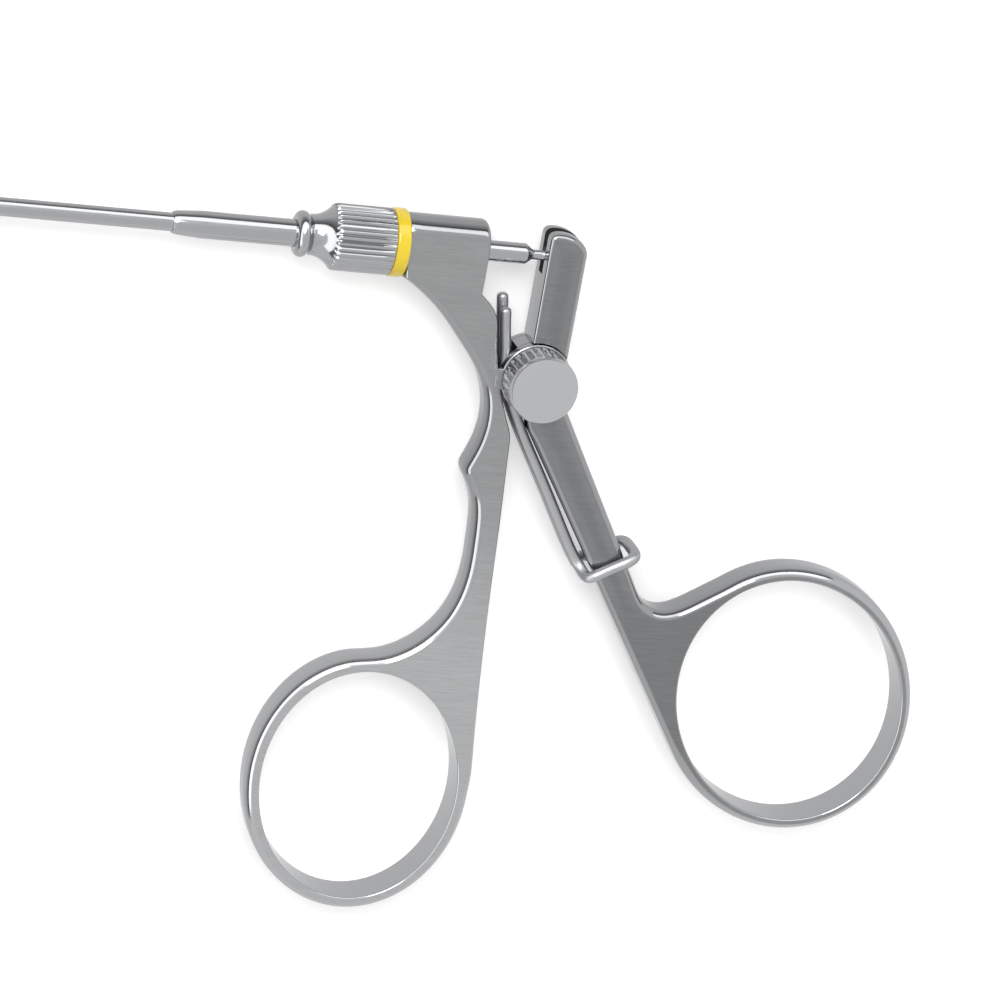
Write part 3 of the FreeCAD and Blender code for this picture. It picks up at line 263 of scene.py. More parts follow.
def plate(name, outer, holes, half, crown, reach=2.2, step=0.7):
    """Plate between two flat sides, with rounded edges and softly crowned sides.

    Round each outline goes a profile: from the flat side a quarter ellipse as wide and as deep as
    the rounding, down the wall, and the same on the other side. The sides rise from their rim by
    the crown, along a parabola that ends level at the reach. half and crown are functions of x, y.
    A wide rounding is deeper than it is wide, as belt grinding leaves it.
    """
    steps = 11
    turn = np.radians(np.linspace(0, 90, steps))
    points, faces, rims = [], [], []
    count = 0
    for n, (line, inward, width) in enumerate([outer] + holes):
        if n:
            # a hole's outline runs the other way round, so that its normals point into the metal
            inward = -inward
        rim = line + inward * width[:, None]
        top = half(*rim.T) - crown(*rim.T)
        deep = (width + 0.85 * np.clip((width - 0.7) / 0.6, 0, 1))[:, None]
        away = width[:, None] * (1 - np.cos(turn))
        high = top[:, None] - deep * (1 - np.sin(turn))
        flat = line[:, None, :] + inward[:, None, :] * away[..., None]
        near = np.concatenate([flat, high[..., None]], -1)
        far = near[:, ::-1] * (1, 1, -1)
        strip = np.concatenate([far, near], 1)
        faces.append(grid_faces(len(line), 2 * steps, wrap_rows=True) + count)
        points.append(strip.reshape(-1, 3))
        count += strip.shape[0] * strip.shape[1]
        rims.append(flat[:, -1])
    low, high = rims[0].min(0), rims[0].max(0)
    x, y = np.meshgrid(np.arange(low[0], high[0], step), np.arange(low[1], high[1], step * 0.866))
    x = x + (np.arange(len(x)) % 2)[:, None] * step / 2
    inner = np.stack([x.ravel(), y.ravel()], -1)
    ends = np.concatenate(rims)
    inner = inner[nearest(inner, ends) > step * 0.55]
    every = np.concatenate([ends, inner])
    loops, start = [], 0
    for rim in rims:
        loops.append(list(range(start, start + len(rim))))
        start += len(rim)
    edges = [(a, b) for loop in loops for a, b in zip(loop, loop[1:] + loop[:1])]
    flat, _, cells, _, _, _ = delaunay_2d_cdt([Vector(p) for p in every.tolist()], edges, [], 0, 1e-6)
    flat = np.array([tuple(p) for p in flat])
    cells = np.array([tuple(c) for c in cells])
    middle = flat[cells].mean(1)
    kept = within(middle, rims[0])
    for rim in rims[1:]:
        kept &= ~within(middle, rim)
    cells = cells[kept]
    rise = np.clip(nearest(flat, ends) / reach, 0, 1)
    level = half(*flat.T) - crown(*flat.T) * (1 - rise) ** 2
    for sign in (1, -1):
        points.append(np.column_stack([flat, sign * level]))
        faces.append((cells if sign > 0 else cells[:, ::-1]) + count)
        count += len(flat)
    made = mesh_of(name, np.concatenate(points), [f for group in faces for f in group])
    return tidy(made, 40.0)


def rounded_profile(corners, count=6):
    """Closed profile; a corner is (station, radius), or (station, radius, round) where it is rounded."""
    points = []
    flat = [np.array(c[:2], float) for c in corners]
    for n, corner in enumerate(corners):
        here, before, after = flat[n], flat[n - 1], flat[(n + 1) % len(flat)]
        if len(corner) < 3:
            points.append(here[None])
            continue
        back, ahead = before - here, after - here
        room = min(corner[2], 0.49 * np.linalg.norm(back), 0.49 * np.linalg.norm(ahead))
        a = here + back / np.linalg.norm(back) * room
        b = here + ahead / np.linalg.norm(ahead) * room
        t = np.linspace(0, 1, count)[:, None]
        points.append(a * (1 - t) ** 2 + 2 * here * t * (1 - t) + b * t * t)
    return np.concatenate(points)


def lathe(name, profile, around=160, axis="X", at=(0.0, 0.0), flute=None):
    """Turned piece: a closed profile of station and radius swept round an axis.

    flute is a function of station, radius and angle that gives the radius after the flutes are cut.
    """
    profile = np.asarray(profile, float)
    turn = np.linspace(0, 2 * math.pi, around, endpoint=False)
    station = np.repeat(profile[:, :1], around, 1)
    radius = np.repeat(profile[:, 1:], around, 1)
    if flute is not None:
        radius = flute(station, radius, turn[None, :])
    a, b = radius * np.cos(turn), radius * np.sin(turn)
    if axis == "X":
        points = np.stack([station, a, b], -1)
    else:
        points = np.stack([a + at[0], b + at[1], station], -1)
    faces = grid_faces(len(profile), around, wrap_rows=True, wrap_columns=True)
    return tidy(mesh_of(name, points.reshape(-1, 3), faces), 38.0)


def rod_along(name, path, radius, around=24):
    """Round wire along a path, with domed ends: circles carried along it without twist."""
    heading = np.gradient(path, axis=0)
    heading /= np.linalg.norm(heading, axis=1)[:, None]
    side = np.cross(heading[0], (0.0, 1.0, 0.3))
    sides = []
    for h in heading:
        side = side - h * np.dot(side, h)
        side = side / np.linalg.norm(side)
        sides.append(side)
    sides = np.array(sides)
    others = np.cross(heading, sides)
    # each dome is 0.7 radius deep and has five circles
    swing = np.radians(np.linspace(90, 0, 6))[:-1]
    first = path[0] + radius * 0.7 * (1 - np.sin(swing))[:, None] * heading[0]
    last = path[-1] - radius * 0.7 * (1 - np.sin(swing[::-1]))[:, None] * heading[-1]
    inside = (np.arange(len(path)) > 0) & (np.arange(len(path)) < len(path) - 1)
    reach = np.minimum(np.linalg.norm(path - path[0], axis=1), np.linalg.norm(path - path[-1], axis=1))
    inside &= reach > radius * 0.75
    rows = np.concatenate([first, path[inside], last])
    domed = radius * np.cos(swing)
    sizes = np.concatenate([domed, np.full(inside.sum(), radius), domed[::-1]])
    u = np.concatenate([np.repeat(sides[:1], 5, 0), sides[inside], np.repeat(sides[-1:], 5, 0)])
    v = np.concatenate([np.repeat(others[:1], 5, 0), others[inside], np.repeat(others[-1:], 5, 0)])
    turn = np.linspace(0, 2 * math.pi, around, endpoint=False)
    points = rows[:, None] + sizes[:, None, None] * (
        np.cos(turn)[None, :, None] * u[:, None] + np.sin(turn)[None, :, None] * v[:, None])
    faces = grid_faces(len(rows), around, wrap_columns=True)
    return tidy(mesh_of(name, points.reshape(-1, 3), faces), 60.0)


def fillet(first, second, reach):
    """Rounds the corner where one run meets the next, starting at a reach from it."""
    corner = first[-1]
    a = first[np.linalg.norm(first - corner, axis=1) > reach]
    b = second[np.linalg.norm(second - corner, axis=1) > reach]
    t = np.linspace(0, 1, 12)[:, None]
    bend = a[-1] * (1 - t) ** 2 + 2 * corner * t * (1 - t) + b[0] * t * t
    return np.concatenate([a, bend[1:]]), b


# Fixed handle: outline of stem and finger ring

FINGER = np.array((40.7, -85.2))
FINGER_TILT = 97.0
FINGER_RING = (21.0, 17.6, FINGER_TILT)
FINGER_HOLE = (18.8, 15.4, FINGER_TILT)
# parameters on the ring's ellipse where its outline leaves the stem's front and meets its rear
RING_FROM, RING_TO = 8, 268


def handle_runs():
    """Runs of the handle's outline from the barrel down the front, round the ring and up the rear."""
    heading = oval_heading(*FINGER_RING, RING_FROM)
    joint = oval(FINGER, *FINGER_RING, RING_FROM, RING_FROM, 1)[0]
    rising = oval_heading(*FINGER_RING, RING_TO)
    parting = oval(FINGER, *FINGER_RING, RING_TO, RING_TO, 1)[0]
    front = spline([(34.5, -4.4), (39.9, -8.4), (45.2, -14.1), (48.9, -19.2), (50.45, -24.6),
                    (50.0, -29.3), (48.4, -33.6)])
    sweep = spline([(48.4, -33.6), (50.6, -37.6), (51.65, -44.7), (51.65, -50.0), (49.6, -57.3),
                    (46.2, -61.3), (41.0, -64.0), joint], (1.4, -2.4), heading)
    ring = oval(FINGER, *FINGER_RING, RING_FROM, RING_TO, 260)
    rear = spline([parting, (57.25, -72.3), (56.15, -54.2), (55.35, -36.2), (54.9, -27.5)],
                  rising, (-0.03, 1.0))
    neck = spline([(54.9, -27.5), (53.1, -23.3), (51.6, -18.7), (50.1, -12.6), (49.2, -8.7), (46.5, -5.8)])
    front, sweep = fillet(front, sweep, 1.0)
    rear, neck = fillet(rear, neck, 1.3)
    top = np.array([(46.5, -5.8), (46.58, 1.0), (34.5, 1.0), (34.5, -4.4)])
    return [(front, 1.3), (sweep, 1.5), (ring, 1.35), (rear, 0.6), (neck, 0.45),
            (top[:2], 0.14), (top[1:3], 0.2), (top[2:], 0.2)]


def handle_half(x, y):
    """Half thickness of the handle: plate, rising on a wide arc to the barrel's flats, sunk inside them."""
    rise = np.where(y > -32.0, (y + 32.0) ** 2 / 1560.0, 0.0)
    return np.minimum(PLATE + rise, 3.6) - 0.08 * np.clip((y + 2.95) / 0.3, 0, 1)


def handle_crown(x, y):
    """The stem's sides are crowned between the barrel and the finger ring; the ring is nearly flat."""
    return 0.05 + 0.1 * np.clip((y + 62) / 12, 0, 1) * np.clip((-8 - y) / 8, 0, 1)


def fixed_handle():
    """Six pieces: stem with finger ring, barrel, and the two ears, each on its web."""
    ring_hole = closed_outline([(oval(FINGER, *FINGER_HOLE, 0, 360, 400), 0.28)])
    stem = plate("handle_stem_and_ring", closed_outline(handle_runs()), [ring_hole], handle_half,
                 handle_crown, reach=3.0)
    # the stem's top lies in the barrel's wall only, so the barrel's bore is cut through it
    bore = lathe("bore", [(34.0, 0.001), (34.0, 2.95), (40.45, 2.95), (40.45, 2.03), (43.35, 2.03),
                          (43.35, 2.65), (47.5, 2.65), (47.5, 0.001)], 96)
    combine(stem, bore, "DIFFERENCE")
    # barrel: a round bar with two flats, softened front edge and well rounded rear edge
    turn = np.radians(np.linspace(0, 90, 7))
    rear_r = 0.9
    rear = np.stack([46.6 - rear_r + rear_r * np.sin(turn), 4.6 - rear_r + rear_r * np.cos(turn)], -1)
    profile = np.concatenate([
        [(40.5, 2.92), (34.55, 2.92), (34.4, 3.05), (34.4, 4.45), (34.45, 4.55), (34.6, 4.6)],
        [(36.0, 4.6), (39.0, 4.6), (42.0, 4.6), (44.5, 4.6)], rear,
        [(46.6, 3.2), (46.6, 2.75), (46.5, 2.62), (43.3, 2.62), (43.3, 2.0), (40.5, 2.0)]])

    def flats(station, radius, turn):
        level = 3.6 - np.interp(station, [34.4, 34.5, 46.35, 46.5, 46.6], [0.1, 0.0, 0.0, 0.04, 0.2])
        reach = level / np.maximum(np.abs(np.sin(turn)), 1e-6)
        rolled = (radius ** -9.0 + reach ** -9.0) ** (-1 / 9.0)
        return np.where(radius > 3.3, rolled, radius)

    barrel = lathe("handle_barrel", profile, 320, flute=flats)
    pieces = [stem, barrel]
    wide = np.array([(50.2, -16.7), (51.7, -23.4), (53.5, -23.4), (54.6, -22.4), (53.2, -16.7)])
    slim = np.array([(50.6, -17.0), (50.9, -19.9), (52.4, -20.3), (53.8, -20.0), (53.8, -17.0)])
    for name, low, high, web in (("near", 1.8, 3.1, slim), ("far", -3.1, -1.8, wide)):
        eye = 1.7 if name == "near" else 1.45
        outer, inner = (high, low) if name == "near" else (low, high)
        soft = 0.35 if name == "near" else -0.35
        ear = lathe(name + "_ear", [(inner, eye), (outer, eye), (outer, 5.05), (outer - soft * 0.12, 5.24),
                                    (outer - soft * 0.5, 5.36), (outer - soft, 5.4), (inner, 5.4)],
                    96, "Z", PIVOT)
        middle, thick = (low + high) / 2, (high - low) / 2
        runs = [(np.array([web[k], web[(k + 1) % 5]]), 0.15) for k in range(5)]
        joint = plate(name + "_web", closed_outline(runs, 0.25, 2), [], lambda x, y: thick + 0 * x,
                      lambda x, y: 0.0 * x)
        joint.data.transform(Matrix.Translation((0, 0, middle * MM)))
        pieces += [ear, joint]
    return pieces


# Lever: head, tongue, slanted arm and thumb ring

SLANT = 57.5
DOWN = np.array((math.cos(math.radians(SLANT)), -math.sin(math.radians(SLANT))))
BACK = np.array((math.sin(math.radians(SLANT)), math.cos(math.radians(SLANT))))


def on_arm(reach, behind):
    """Point at a distance down the lower arm from the pivot, and behind the arm's front edge."""
    return PIVOT + DOWN * reach + BACK * (behind - 4.0)


THUMB = on_arm(68.2, 19.8)
THUMB_RING = (22.8, 19.8, -SLANT)
THUMB_HOLE = (20.8, 17.8, -SLANT)
# parameter on the ring's ellipse where its outline meets the arm's back
CROOK_FROM = 183


def lever_runs():
    """Runs of the lever's outline from the head's front, down the arm, round the ring and up the back."""
    front, rear, top = 55.7, 61.75, 4.15
    px, py = PIVOT

    def on_boss(angle):
        turn = math.radians(angle)
        return np.array((px - BOSS * math.sin(turn), py + BOSS * math.cos(turn)))

    meet = np.array((front, py + math.sqrt(BOSS ** 2 - 1.3 ** 2)))
    inward = oval_heading(*THUMB_RING, CROOK_FROM)
    joint = oval(THUMB, *THUMB_RING, CROOK_FROM, CROOK_FROM, 1)[0]
    last = on_arm(39.0, 5.2)
    crook = spline([joint, on_arm(45.5, 13.5), on_arm(45.4, 10.2), on_arm(44.7, 7.7), on_arm(43.2, 6.1),
                    on_arm(41.2, 5.3), last], inward, -DOWN)
    head_rear = np.array([(61.55, py - 2.4), (rear, 1.7)])
    face = np.array([(front, top - 0.3), meet])
    crown = arc_through((rear, 1.7), (rear - 2.4, top - 0.4), (front, top - 0.3))
    low_edge = np.array([on_arm(7.3, 0.0), on_arm(68.2, 0.0)])
    crown, face = fillet(crown, spaced(face, 0.1), 0.8)
    back = spaced(np.array([last, head_rear[0]]), 0.1)
    back, upright = fillet(back, spaced(head_rear, 0.1), 2.0)
    upright, crown = fillet(upright, crown, 0.8)
    notch = [on_boss(37), np.array((px - 2.75, py + 1.2)), np.array((px - 2.75, py - 0.7)),
             on_arm(3.4, 0.8), on_arm(7.3, 0.0)]
    return [(face, 0.45), (arc_through(meet, on_boss(26), on_boss(37)), 0.3),
            (np.array(notch[:2]), 0.2), (np.array(notch[1:3]), 0.2), (np.array(notch[2:4]), 0.2),
            (np.array(notch[3:]), 0.3), (low_edge, 0.9),
            (oval(THUMB, *THUMB_RING, -90, CROOK_FROM, 280), 1.35),
            (crook, 1.2), (back, 1.0), (upright, 0.9), (crown, 0.8)]


def lever_crown(x, y):
    """The lower arm's sides are softly domed; the ring and the head are nearly flat."""
    along = (x - PIVOT[0]) * DOWN[0] + (y - PIVOT[1]) * DOWN[1]
    return 0.06 + 0.2 * np.clip((46 - along) / 8, 0, 1)


def block(name, low, high):
    """Box used only to cut a slot."""
    low, high = np.array(low, float), np.array(high, float)
    corners = np.array([[(low, high)[i][0], (low, high)[j][1], (low, high)[k][2]]
                        for i in (0, 1) for j in (0, 1) for k in (0, 1)])
    faces = [(0, 1, 3, 2), (4, 6, 7, 5), (0, 4, 5, 1), (2, 3, 7, 6), (0, 2, 6, 4), (1, 5, 7, 3)]
    return mesh_of(name, corners, faces)


def lever():
    """Lever from one crowned plate, with its slot, ball seat, recesses for the ears and eye cut in."""
    hole = closed_outline([(oval(THUMB, *THUMB_HOLE, 0, 360, 420), 0.28)])
    arm = plate("lever_head_arm_and_ring", closed_outline(lever_runs()), [hole],
                lambda x, y: PLATE + 0 * x, lever_crown, reach=2.7)
    for sign in (1, -1):
        floor_at, mouth = 1.7 * sign, 4.0 * sign
        recess = lathe("recess", [(floor_at, 0.001), (mouth, 0.001), (mouth, 5.6), (floor_at, 5.6)],
                       128, "Z", PIVOT)
        combine(arm, recess, "DIFFERENCE")
    combine(arm, block("slot", (54.0, -2.6, -0.9), (63.0, 6.0, 0.9)), "DIFFERENCE")
    eye = lathe("eye", [(-4, 0.001), (4, 0.001), (4, 2.12), (-4, 2.12)], 64, "Z", PIVOT)
    combine(arm, eye, "DIFFERENCE")
    seat = lathe("seat", [(-1.4, 0.001), (1.9, 0.001), (1.9, 1.3), (-1.4, 1.3)], 48, "Z", (57.6, 0.0))
    # turned so that its axis stands along Y
    points = np.empty(len(seat.data.vertices) * 3)
    seat.data.vertices.foreach_get("co", points)
    points = points.reshape(-1, 3)[:, [0, 2, 1]]
    seat.data.vertices.foreach_set("co", points.ravel())
    seat.data.flip_normals()
    combine(arm, seat, "DIFFERENCE")
    return tidy(arm, 34.0)


def return_spring():
    """Hairpin of round wire: a smooth path through its own points, mirrored from leg to leg."""
    px, py = PIVOT

    def leg(side, wide, top):
        flat = [(px - 4.75 - 0.17 * (top - 3.4), py + top), (px - 5.35, py + 6.6), (px - 4.78, py + 3.4),
                (px - 4.02, py - 0.9)]
        low = [on_arm(7.5, -0.96), on_arm(14.0, -1.1), on_arm(22.0, -1.3), on_arm(29.6, -1.46)]
        points = [(*p, side) for p in flat + low]
        turn = [(*on_arm(31.8, -1.32), side + (wide - side) * 0.22),
                (*on_arm(32.9, -1.1), side + (wide - side) * 0.72), (*on_arm(33.0, -0.2), wide),
                (*on_arm(33.15, 2.6), wide), (*on_arm(33.35, 5.2), wide),
                (*on_arm(33.45, 6.6), wide * 0.86), (*on_arm(33.5, 7.08), wide * 0.5)]
        return points + turn

    near = leg(0.89, 4.03, 10.1)
    far = leg(-0.89, -4.03, 11.8)
    corners = np.array(near + [(*on_arm(33.5, 7.12), 0.0)] + far[::-1])
    gap = np.concatenate([[0], np.cumsum(np.sqrt(np.linalg.norm(np.diff(corners, axis=0), axis=1)))])
    # centripetal cubic through the points, one spline for each coordinate
    fine = np.linspace(0, gap[-1], 900)
    path = np.stack([cubic(gap, corners[:, k], fine) for k in range(3)], -1)
    return rod_along("spring_wire_hairpin", spaced(path, 0.35), 0.87, 28)


def cubic(knots, values, at):
    """Natural cubic spline of values over knots, read at other places."""
    n = len(knots)
    h = np.diff(knots)
    system = np.eye(n)
    right = np.zeros(n)
    for k in range(1, n - 1):
        system[k, k - 1:k + 2] = h[k - 1], 2 * (h[k - 1] + h[k]), h[k]
        right[k] = 6 * ((values[k + 1] - values[k]) / h[k] - (values[k] - values[k - 1]) / h[k - 1])
    bend = np.linalg.solve(system, right)
    k = np.clip(np.searchsorted(knots, at) - 1, 0, n - 2)
    a, b = (knots[k + 1] - at) / h[k], (at - knots[k]) / h[k]
    return (a * values[k] + b * values[k + 1]
            + ((a ** 3 - a) * bend[k] + (b ** 3 - b) * bend[k + 1]) * h[k] ** 2 / 6)


# Turned pieces

def scallops(count, depth, start, end, run_out, share=0.62):
    """Flutes: V-shaped hollows with soft floors, even round the axis, fading in over the run-out."""
    def cut(station, radius, turn):
        phase = (turn * count / (2 * math.pi)) % 1.0
        inside = np.clip(1 - np.abs(phase - 0.5) * 2 / share, 0, 1)
        fade = np.clip((station - start) / run_out, 0, 1) * np.clip((end - station) / run_out, 0, 1)
        outer = np.clip((radius - radius.max() * 0.9) / (radius.max() * 0.06), 0, 1)
        return radius - depth * inside * fade * outer
    return cut


def rotation_wheel():
    """Wheel: rolled bead, concave flare, fluted grip and the ring's spigot, turned in one piece."""
    turn = np.radians(np.linspace(200, 20, 16))
    bead = np.stack([19.05 + 1.05 * np.cos(turn), 2.35 + 1.05 * np.sin(turn)], -1)
    t = np.linspace(0, 1, 26)[:, None]
    a, b, c = np.array((20.15, 3.0)), np.array((22.1, 2.9)), np.array((23.6, 4.72))
    flare = a * (1 - t) ** 2 + 2 * b * t * (1 - t) + c * t * t
    grip = np.array([(23.85, 4.86), (24.2, 4.9), (26.0, 4.9), (28.0, 4.9), (30.0, 4.9), (31.6, 4.9),
                     (32.15, 4.9), (32.26, 4.84), (32.3, 4.72)])
    inside = np.array([(32.3, 4.0), (34.3, 4.0), (34.3, 2.27), (22.0, 2.27), (22.0, 2.02), (18.1, 2.02)])
    profile = np.concatenate([bead, flare[1:], grip, inside])
    return lathe("fluted_turning_wheel", profile, 400, flute=scallops(34, 0.3, 22.6, 32.6, 1.2))


def knob():
    """Fluted head of the pivot screw with a bright chamfer round its face, and its shank."""
    profile = [(-3.1, 0.001), (-3.1, 1.3), (-3.0, 1.4), (-1.7, 1.4), (-1.7, 1.65), (3.2, 1.65), (3.2, 4.8),
               (3.26, 5.0), (3.4, 5.14), (3.9, 5.18), (4.1, 5.18), (4.5, 5.18), (5.5, 5.18), (6.5, 5.18),
               (7.0, 5.18), (7.3, 5.18), (7.6, 5.18), (7.9, 5.15), (8.3, 4.99), (8.38, 4.93), (8.4, 4.85),
               (8.4, 2.0), (8.4, 0.001)]
    return lathe("pivot_screw_and_knob", profile, 416, "Z", PIVOT,
                 scallops(26, 0.46, 3.7, 7.6, 0.3, 0.66))


def shaft_sleeve():
    """Sleeve with a long soft nose, rounded at its lip."""
    profile = rounded_profile([(0.0, 1.37), (0.6, 1.37), (0.6, 1.32), (21.9, 1.32), (21.9, 2.0), (18.0, 2.0),
                               (4.2, 2.0), (0.55, 1.74, 0.5), (0.0, 1.56, 0.12)])
    extra = np.linspace(18, 4.2, 12)
    rows = []
    for p in profile:
        rows.append(p)
        if abs(p[0] - 18.0) < 1e-9:
            rows += [np.array((x, 2.0)) for x in extra[1:-1]]
    return lathe("reinforcing_sleeve", np.array(rows), 96)


def rod_rear():
    """Thick rear rod with its cone, neck and ball."""
    turn = np.radians(np.linspace(140, 0, 14))
    ball = np.stack([57.6 + 1.2 * np.cos(turn), 1.2 * np.sin(turn)], -1)
    profile = np.concatenate([
        [(38.2, 0.62), (38.2, 1.5), (38.3, 1.55), (44.0, 1.55), (48.0, 1.55), (52.6, 1.55), (52.93, 1.52),
         (53.05, 1.44), (53.82, 0.84), (53.95, 0.77), (54.2, 0.75), (56.6, 0.75)], ball[1:-1],
        [(58.8, 0.001), (44.2, 0.001), (44.2, 0.62)]])
    return lathe("rod_rear_with_ball", profile, 80)


def ring_band():
    """Glossy ring with softened edges."""
    profile = rounded_profile([(32.3, 4.02), (34.3, 4.02), (34.3, 5.05, 0.35), (32.3, 5.05, 0.35)])
    return lathe("yellow_colour_ring", profile, 128)


# Cards that only reflections show

def aimed(place, target):
    """Matrix that stands a card or a lamp at a place and turns its back to a target."""
    place, target = Vector(place), Vector(target)
    return Matrix.Translation(place) @ (place - target).to_track_quat("Z", "Y").to_matrix().to_4x4()


def card(name, place, target, width, height, level, foot=None):
    """Flat card that the camera doesn't see; it shows only in polished surfaces.

    Its grey goes evenly from the foot's level, where one is given, to the level at its top.
    """
    material = new_material(name)
    place_on = add(material, "ShaderNodeTexCoord")
    upward = add(material, "ShaderNodeSeparateXYZ", {"Vector": place_on.outputs["Object"]})
    grey = add(material, "ShaderNodeMapRange", {
        "Value": upward.outputs["Y"], "From Min": -height / 2, "From Max": height / 2,
        "To Min": level if foot is None else foot, "To Max": level})
    glow = add(material, "ShaderNodeEmission", {"Color": (1, 1, 1, 1), "Strength": grey.outputs[0]})
    finish_material(material, glow)
    mesh = bpy.data.meshes.new(name)
    w, h = width / 2, height / 2
    mesh.from_pydata([(-w, -h, 0), (w, -h, 0), (w, h, 0), (-w, h, 0)], [], [(0, 1, 2, 3)])
    mesh.materials.append(material)
    made = bpy.data.objects.new(name, mesh)
    bpy.context.scene.collection.objects.link(made)
    made.matrix_world = aimed(place, target)
    made.visible_camera = False
    made.visible_diffuse = False
    made.visible_shadow = False
    made.visible_transmission = False
    return made


# Materials

def linear(hex_colour):
    """Linear colour with alpha from an sRGB hex value."""
    parts = [int(hex_colour[n:n + 2], 16) / 255 for n in (0, 2, 4)]
    return [p / 12.92 if p <= 0.04045 else ((p + 0.055) / 1.055) ** 2.4 for p in parts] + [1.0]


def add(material, kind, inputs=None, **settings):
    """Adds a node with its settings; an input is a number, a colour or another node's output."""
    node = material.node_tree.nodes.new(kind)
    for name, value in settings.items():
        setattr(node, name, value)
    for name, value in (inputs or {}).items():
        if isinstance(value, bpy.types.NodeSocket):
            material.node_tree.links.new(value, node.inputs[name])
        else:
            node.inputs[name].default_value = value
    return node


def new_material(name):
    """Empty node material with its output node."""
    material = bpy.data.materials.new(name)
    material.use_nodes = True
    material.node_tree.nodes.clear()
    return material


def finish_material(material, shader):
    """Links a shader to the material's output."""
    add(material, "ShaderNodeOutputMaterial", {"Surface": shader.outputs[0]})
    return material


def scratches(material, place, angle, long_way, pitch, detail=3.0):
    """Noise stretched along a direction in the XY plane: hairlines of a length at a pitch, in millimetres."""
    turned = add(material, "ShaderNodeMapping", {
        "Vector": place.outputs["Object"], "Rotation": (0.0, 0.0, -math.radians(angle)),
        "Scale": (1000.0 / long_way, 1000.0 / pitch, 1000.0 / long_way)})
    return add(material, "ShaderNodeTexNoise", {
        "Vector": turned.outputs[0], "Scale": 1.0, "Detail": detail, "Roughness": 0.6})


def belt_ground_steel(name, angle, face, edge, axis, start, end, before, after):
    """Stainless steel: flat sides ground on a belt to satin hairlines, rounded edges buffed bright.

    Hairlines about 0.1 mm apart and 4 mm long cross the part at an angle in degrees from X; they
    lie only where the surface looks along Z, because the belt reaches nothing else. Along an axis
    the sides' colour is painted from one level before the start to another after the end, in metres:
    painted light and shade, for how the light falls along the part.
    """
    material = new_material(name)
    place = add(material, "ShaderNodeTexCoord")
    coarse = scratches(material, place, angle, 5.0, 0.22)
    fine = scratches(material, place, angle + 2.0, 2.0, 0.07)
    facing = add(material, "ShaderNodeSeparateXYZ", {"Vector": place.outputs["Normal"]})
    upright = add(material, "ShaderNodeMath", {0: facing.outputs["Z"]}, operation="ABSOLUTE")
    flat = add(material, "ShaderNodeMapRange", {
        "Value": upright.outputs[0], "From Min": 0.965, "From Max": 0.998, "To Min": 0.0, "To Max": 1.0})
    lines = add(material, "ShaderNodeMath", {
        0: coarse.outputs["Fac"], 1: fine.outputs["Fac"]}, operation="ADD")
    level = add(material, "ShaderNodeMapRange", {
        "Value": lines.outputs[0], "From Min": 0.75, "From Max": 1.25, "To Min": 0.90, "To Max": 1.08})
    held = add(material, "ShaderNodeMix", {"Factor": flat.outputs[0], 2: 1.0, 3: level.outputs[0]})
    tint = add(material, "ShaderNodeMix", {
        "Factor": flat.outputs[0], 6: linear(edge), 7: linear(face)}, data_type="RGBA")
    spot = add(material, "ShaderNodeSeparateXYZ", {"Vector": place.outputs["Object"]})
    # painted light and shade: the sides' colour is made darker or lighter along an axis, for how the light
    # falls along the part
    painted_light_level = add(material, "ShaderNodeMapRange", {
        "Value": spot.outputs[axis], "From Min": start, "From Max": end,
        "To Min": before, "To Max": after}, interpolation_type="SMOOTHSTEP")
    shade = add(material, "ShaderNodeMath", {0: held.outputs[0], 1: painted_light_level.outputs[0]}, operation="MULTIPLY")
    lined = add(material, "ShaderNodeVectorMath", {
        0: tint.outputs[2], "Scale": shade.outputs[0]}, operation="SCALE")
    patches = add(material, "ShaderNodeTexNoise", {
        "Vector": place.outputs["Object"], "Scale": 180.0, "Detail": 3.0, "Roughness": 0.55})
    uneven = add(material, "ShaderNodeMapRange", {
        "Value": patches.outputs["Fac"], "From Min": 0.3, "From Max": 0.7, "To Min": -0.03, "To Max": 0.05})
    rough = add(material, "ShaderNodeMapRange", {
        "Value": flat.outputs[0], "From Min": 0.0, "From Max": 1.0, "To Min": 0.11, "To Max": 0.33})
    roughness = add(material, "ShaderNodeMath", {0: rough.outputs[0], 1: uneven.outputs[0]}, operation="ADD")
    depth = add(material, "ShaderNodeMath", {0: flat.outputs[0], 1: 0.45}, operation="MULTIPLY")
    bump = add(material, "ShaderNodeBump", {
        "Strength": depth.outputs[0], "Distance": 0.00002, "Height": lines.outputs[0]})
    shader = add(material, "ShaderNodeBsdfPrincipled", {
        "Base Color": lined.outputs[0], "Metallic": 1.0, "Roughness": roughness.outputs[0],
        "Normal": bump.outputs[0]})
    return finish_material(material, shader)


def turned_steel(name, hex_colour="AAABAD", base_rough=0.13, rings=9000.0, depth=0.12, along=(1, 0, 0),
                 uneven=0.05):
    """Stainless steel turned on a lathe and polished: faint rings round the axis it was turned about."""
    material = new_material(name)
    place = add(material, "ShaderNodeTexCoord")
    scale = tuple(rings if way else 240.0 for way in along)
    squeezed = add(material, "ShaderNodeMapping", {"Vector": place.outputs["Object"], "Scale": scale})
    ring = add(material, "ShaderNodeTexNoise", {
        "Vector": squeezed.outputs[0], "Scale": 1.0, "Detail": 2.0, "Roughness": 0.5})
    patches = add(material, "ShaderNodeTexNoise", {
        "Vector": place.outputs["Object"], "Scale": 300.0, "Detail": 3.0, "Roughness": 0.6})
    rough = add(material, "ShaderNodeMapRange", {
        "Value": patches.outputs["Fac"], "From Min": 0.3, "From Max": 0.7,
        "To Min": base_rough - uneven, "To Max": base_rough + uneven})
    bump = add(material, "ShaderNodeBump", {
        "Strength": depth, "Distance": 0.00001, "Height": ring.outputs["Fac"]})
    shader = add(material, "ShaderNodeBsdfPrincipled", {
        "Base Color": linear(hex_colour), "Metallic": 1.0, "Roughness": rough.outputs[0],
        "Normal": bump.outputs[0]})
    return finish_material(material, shader)


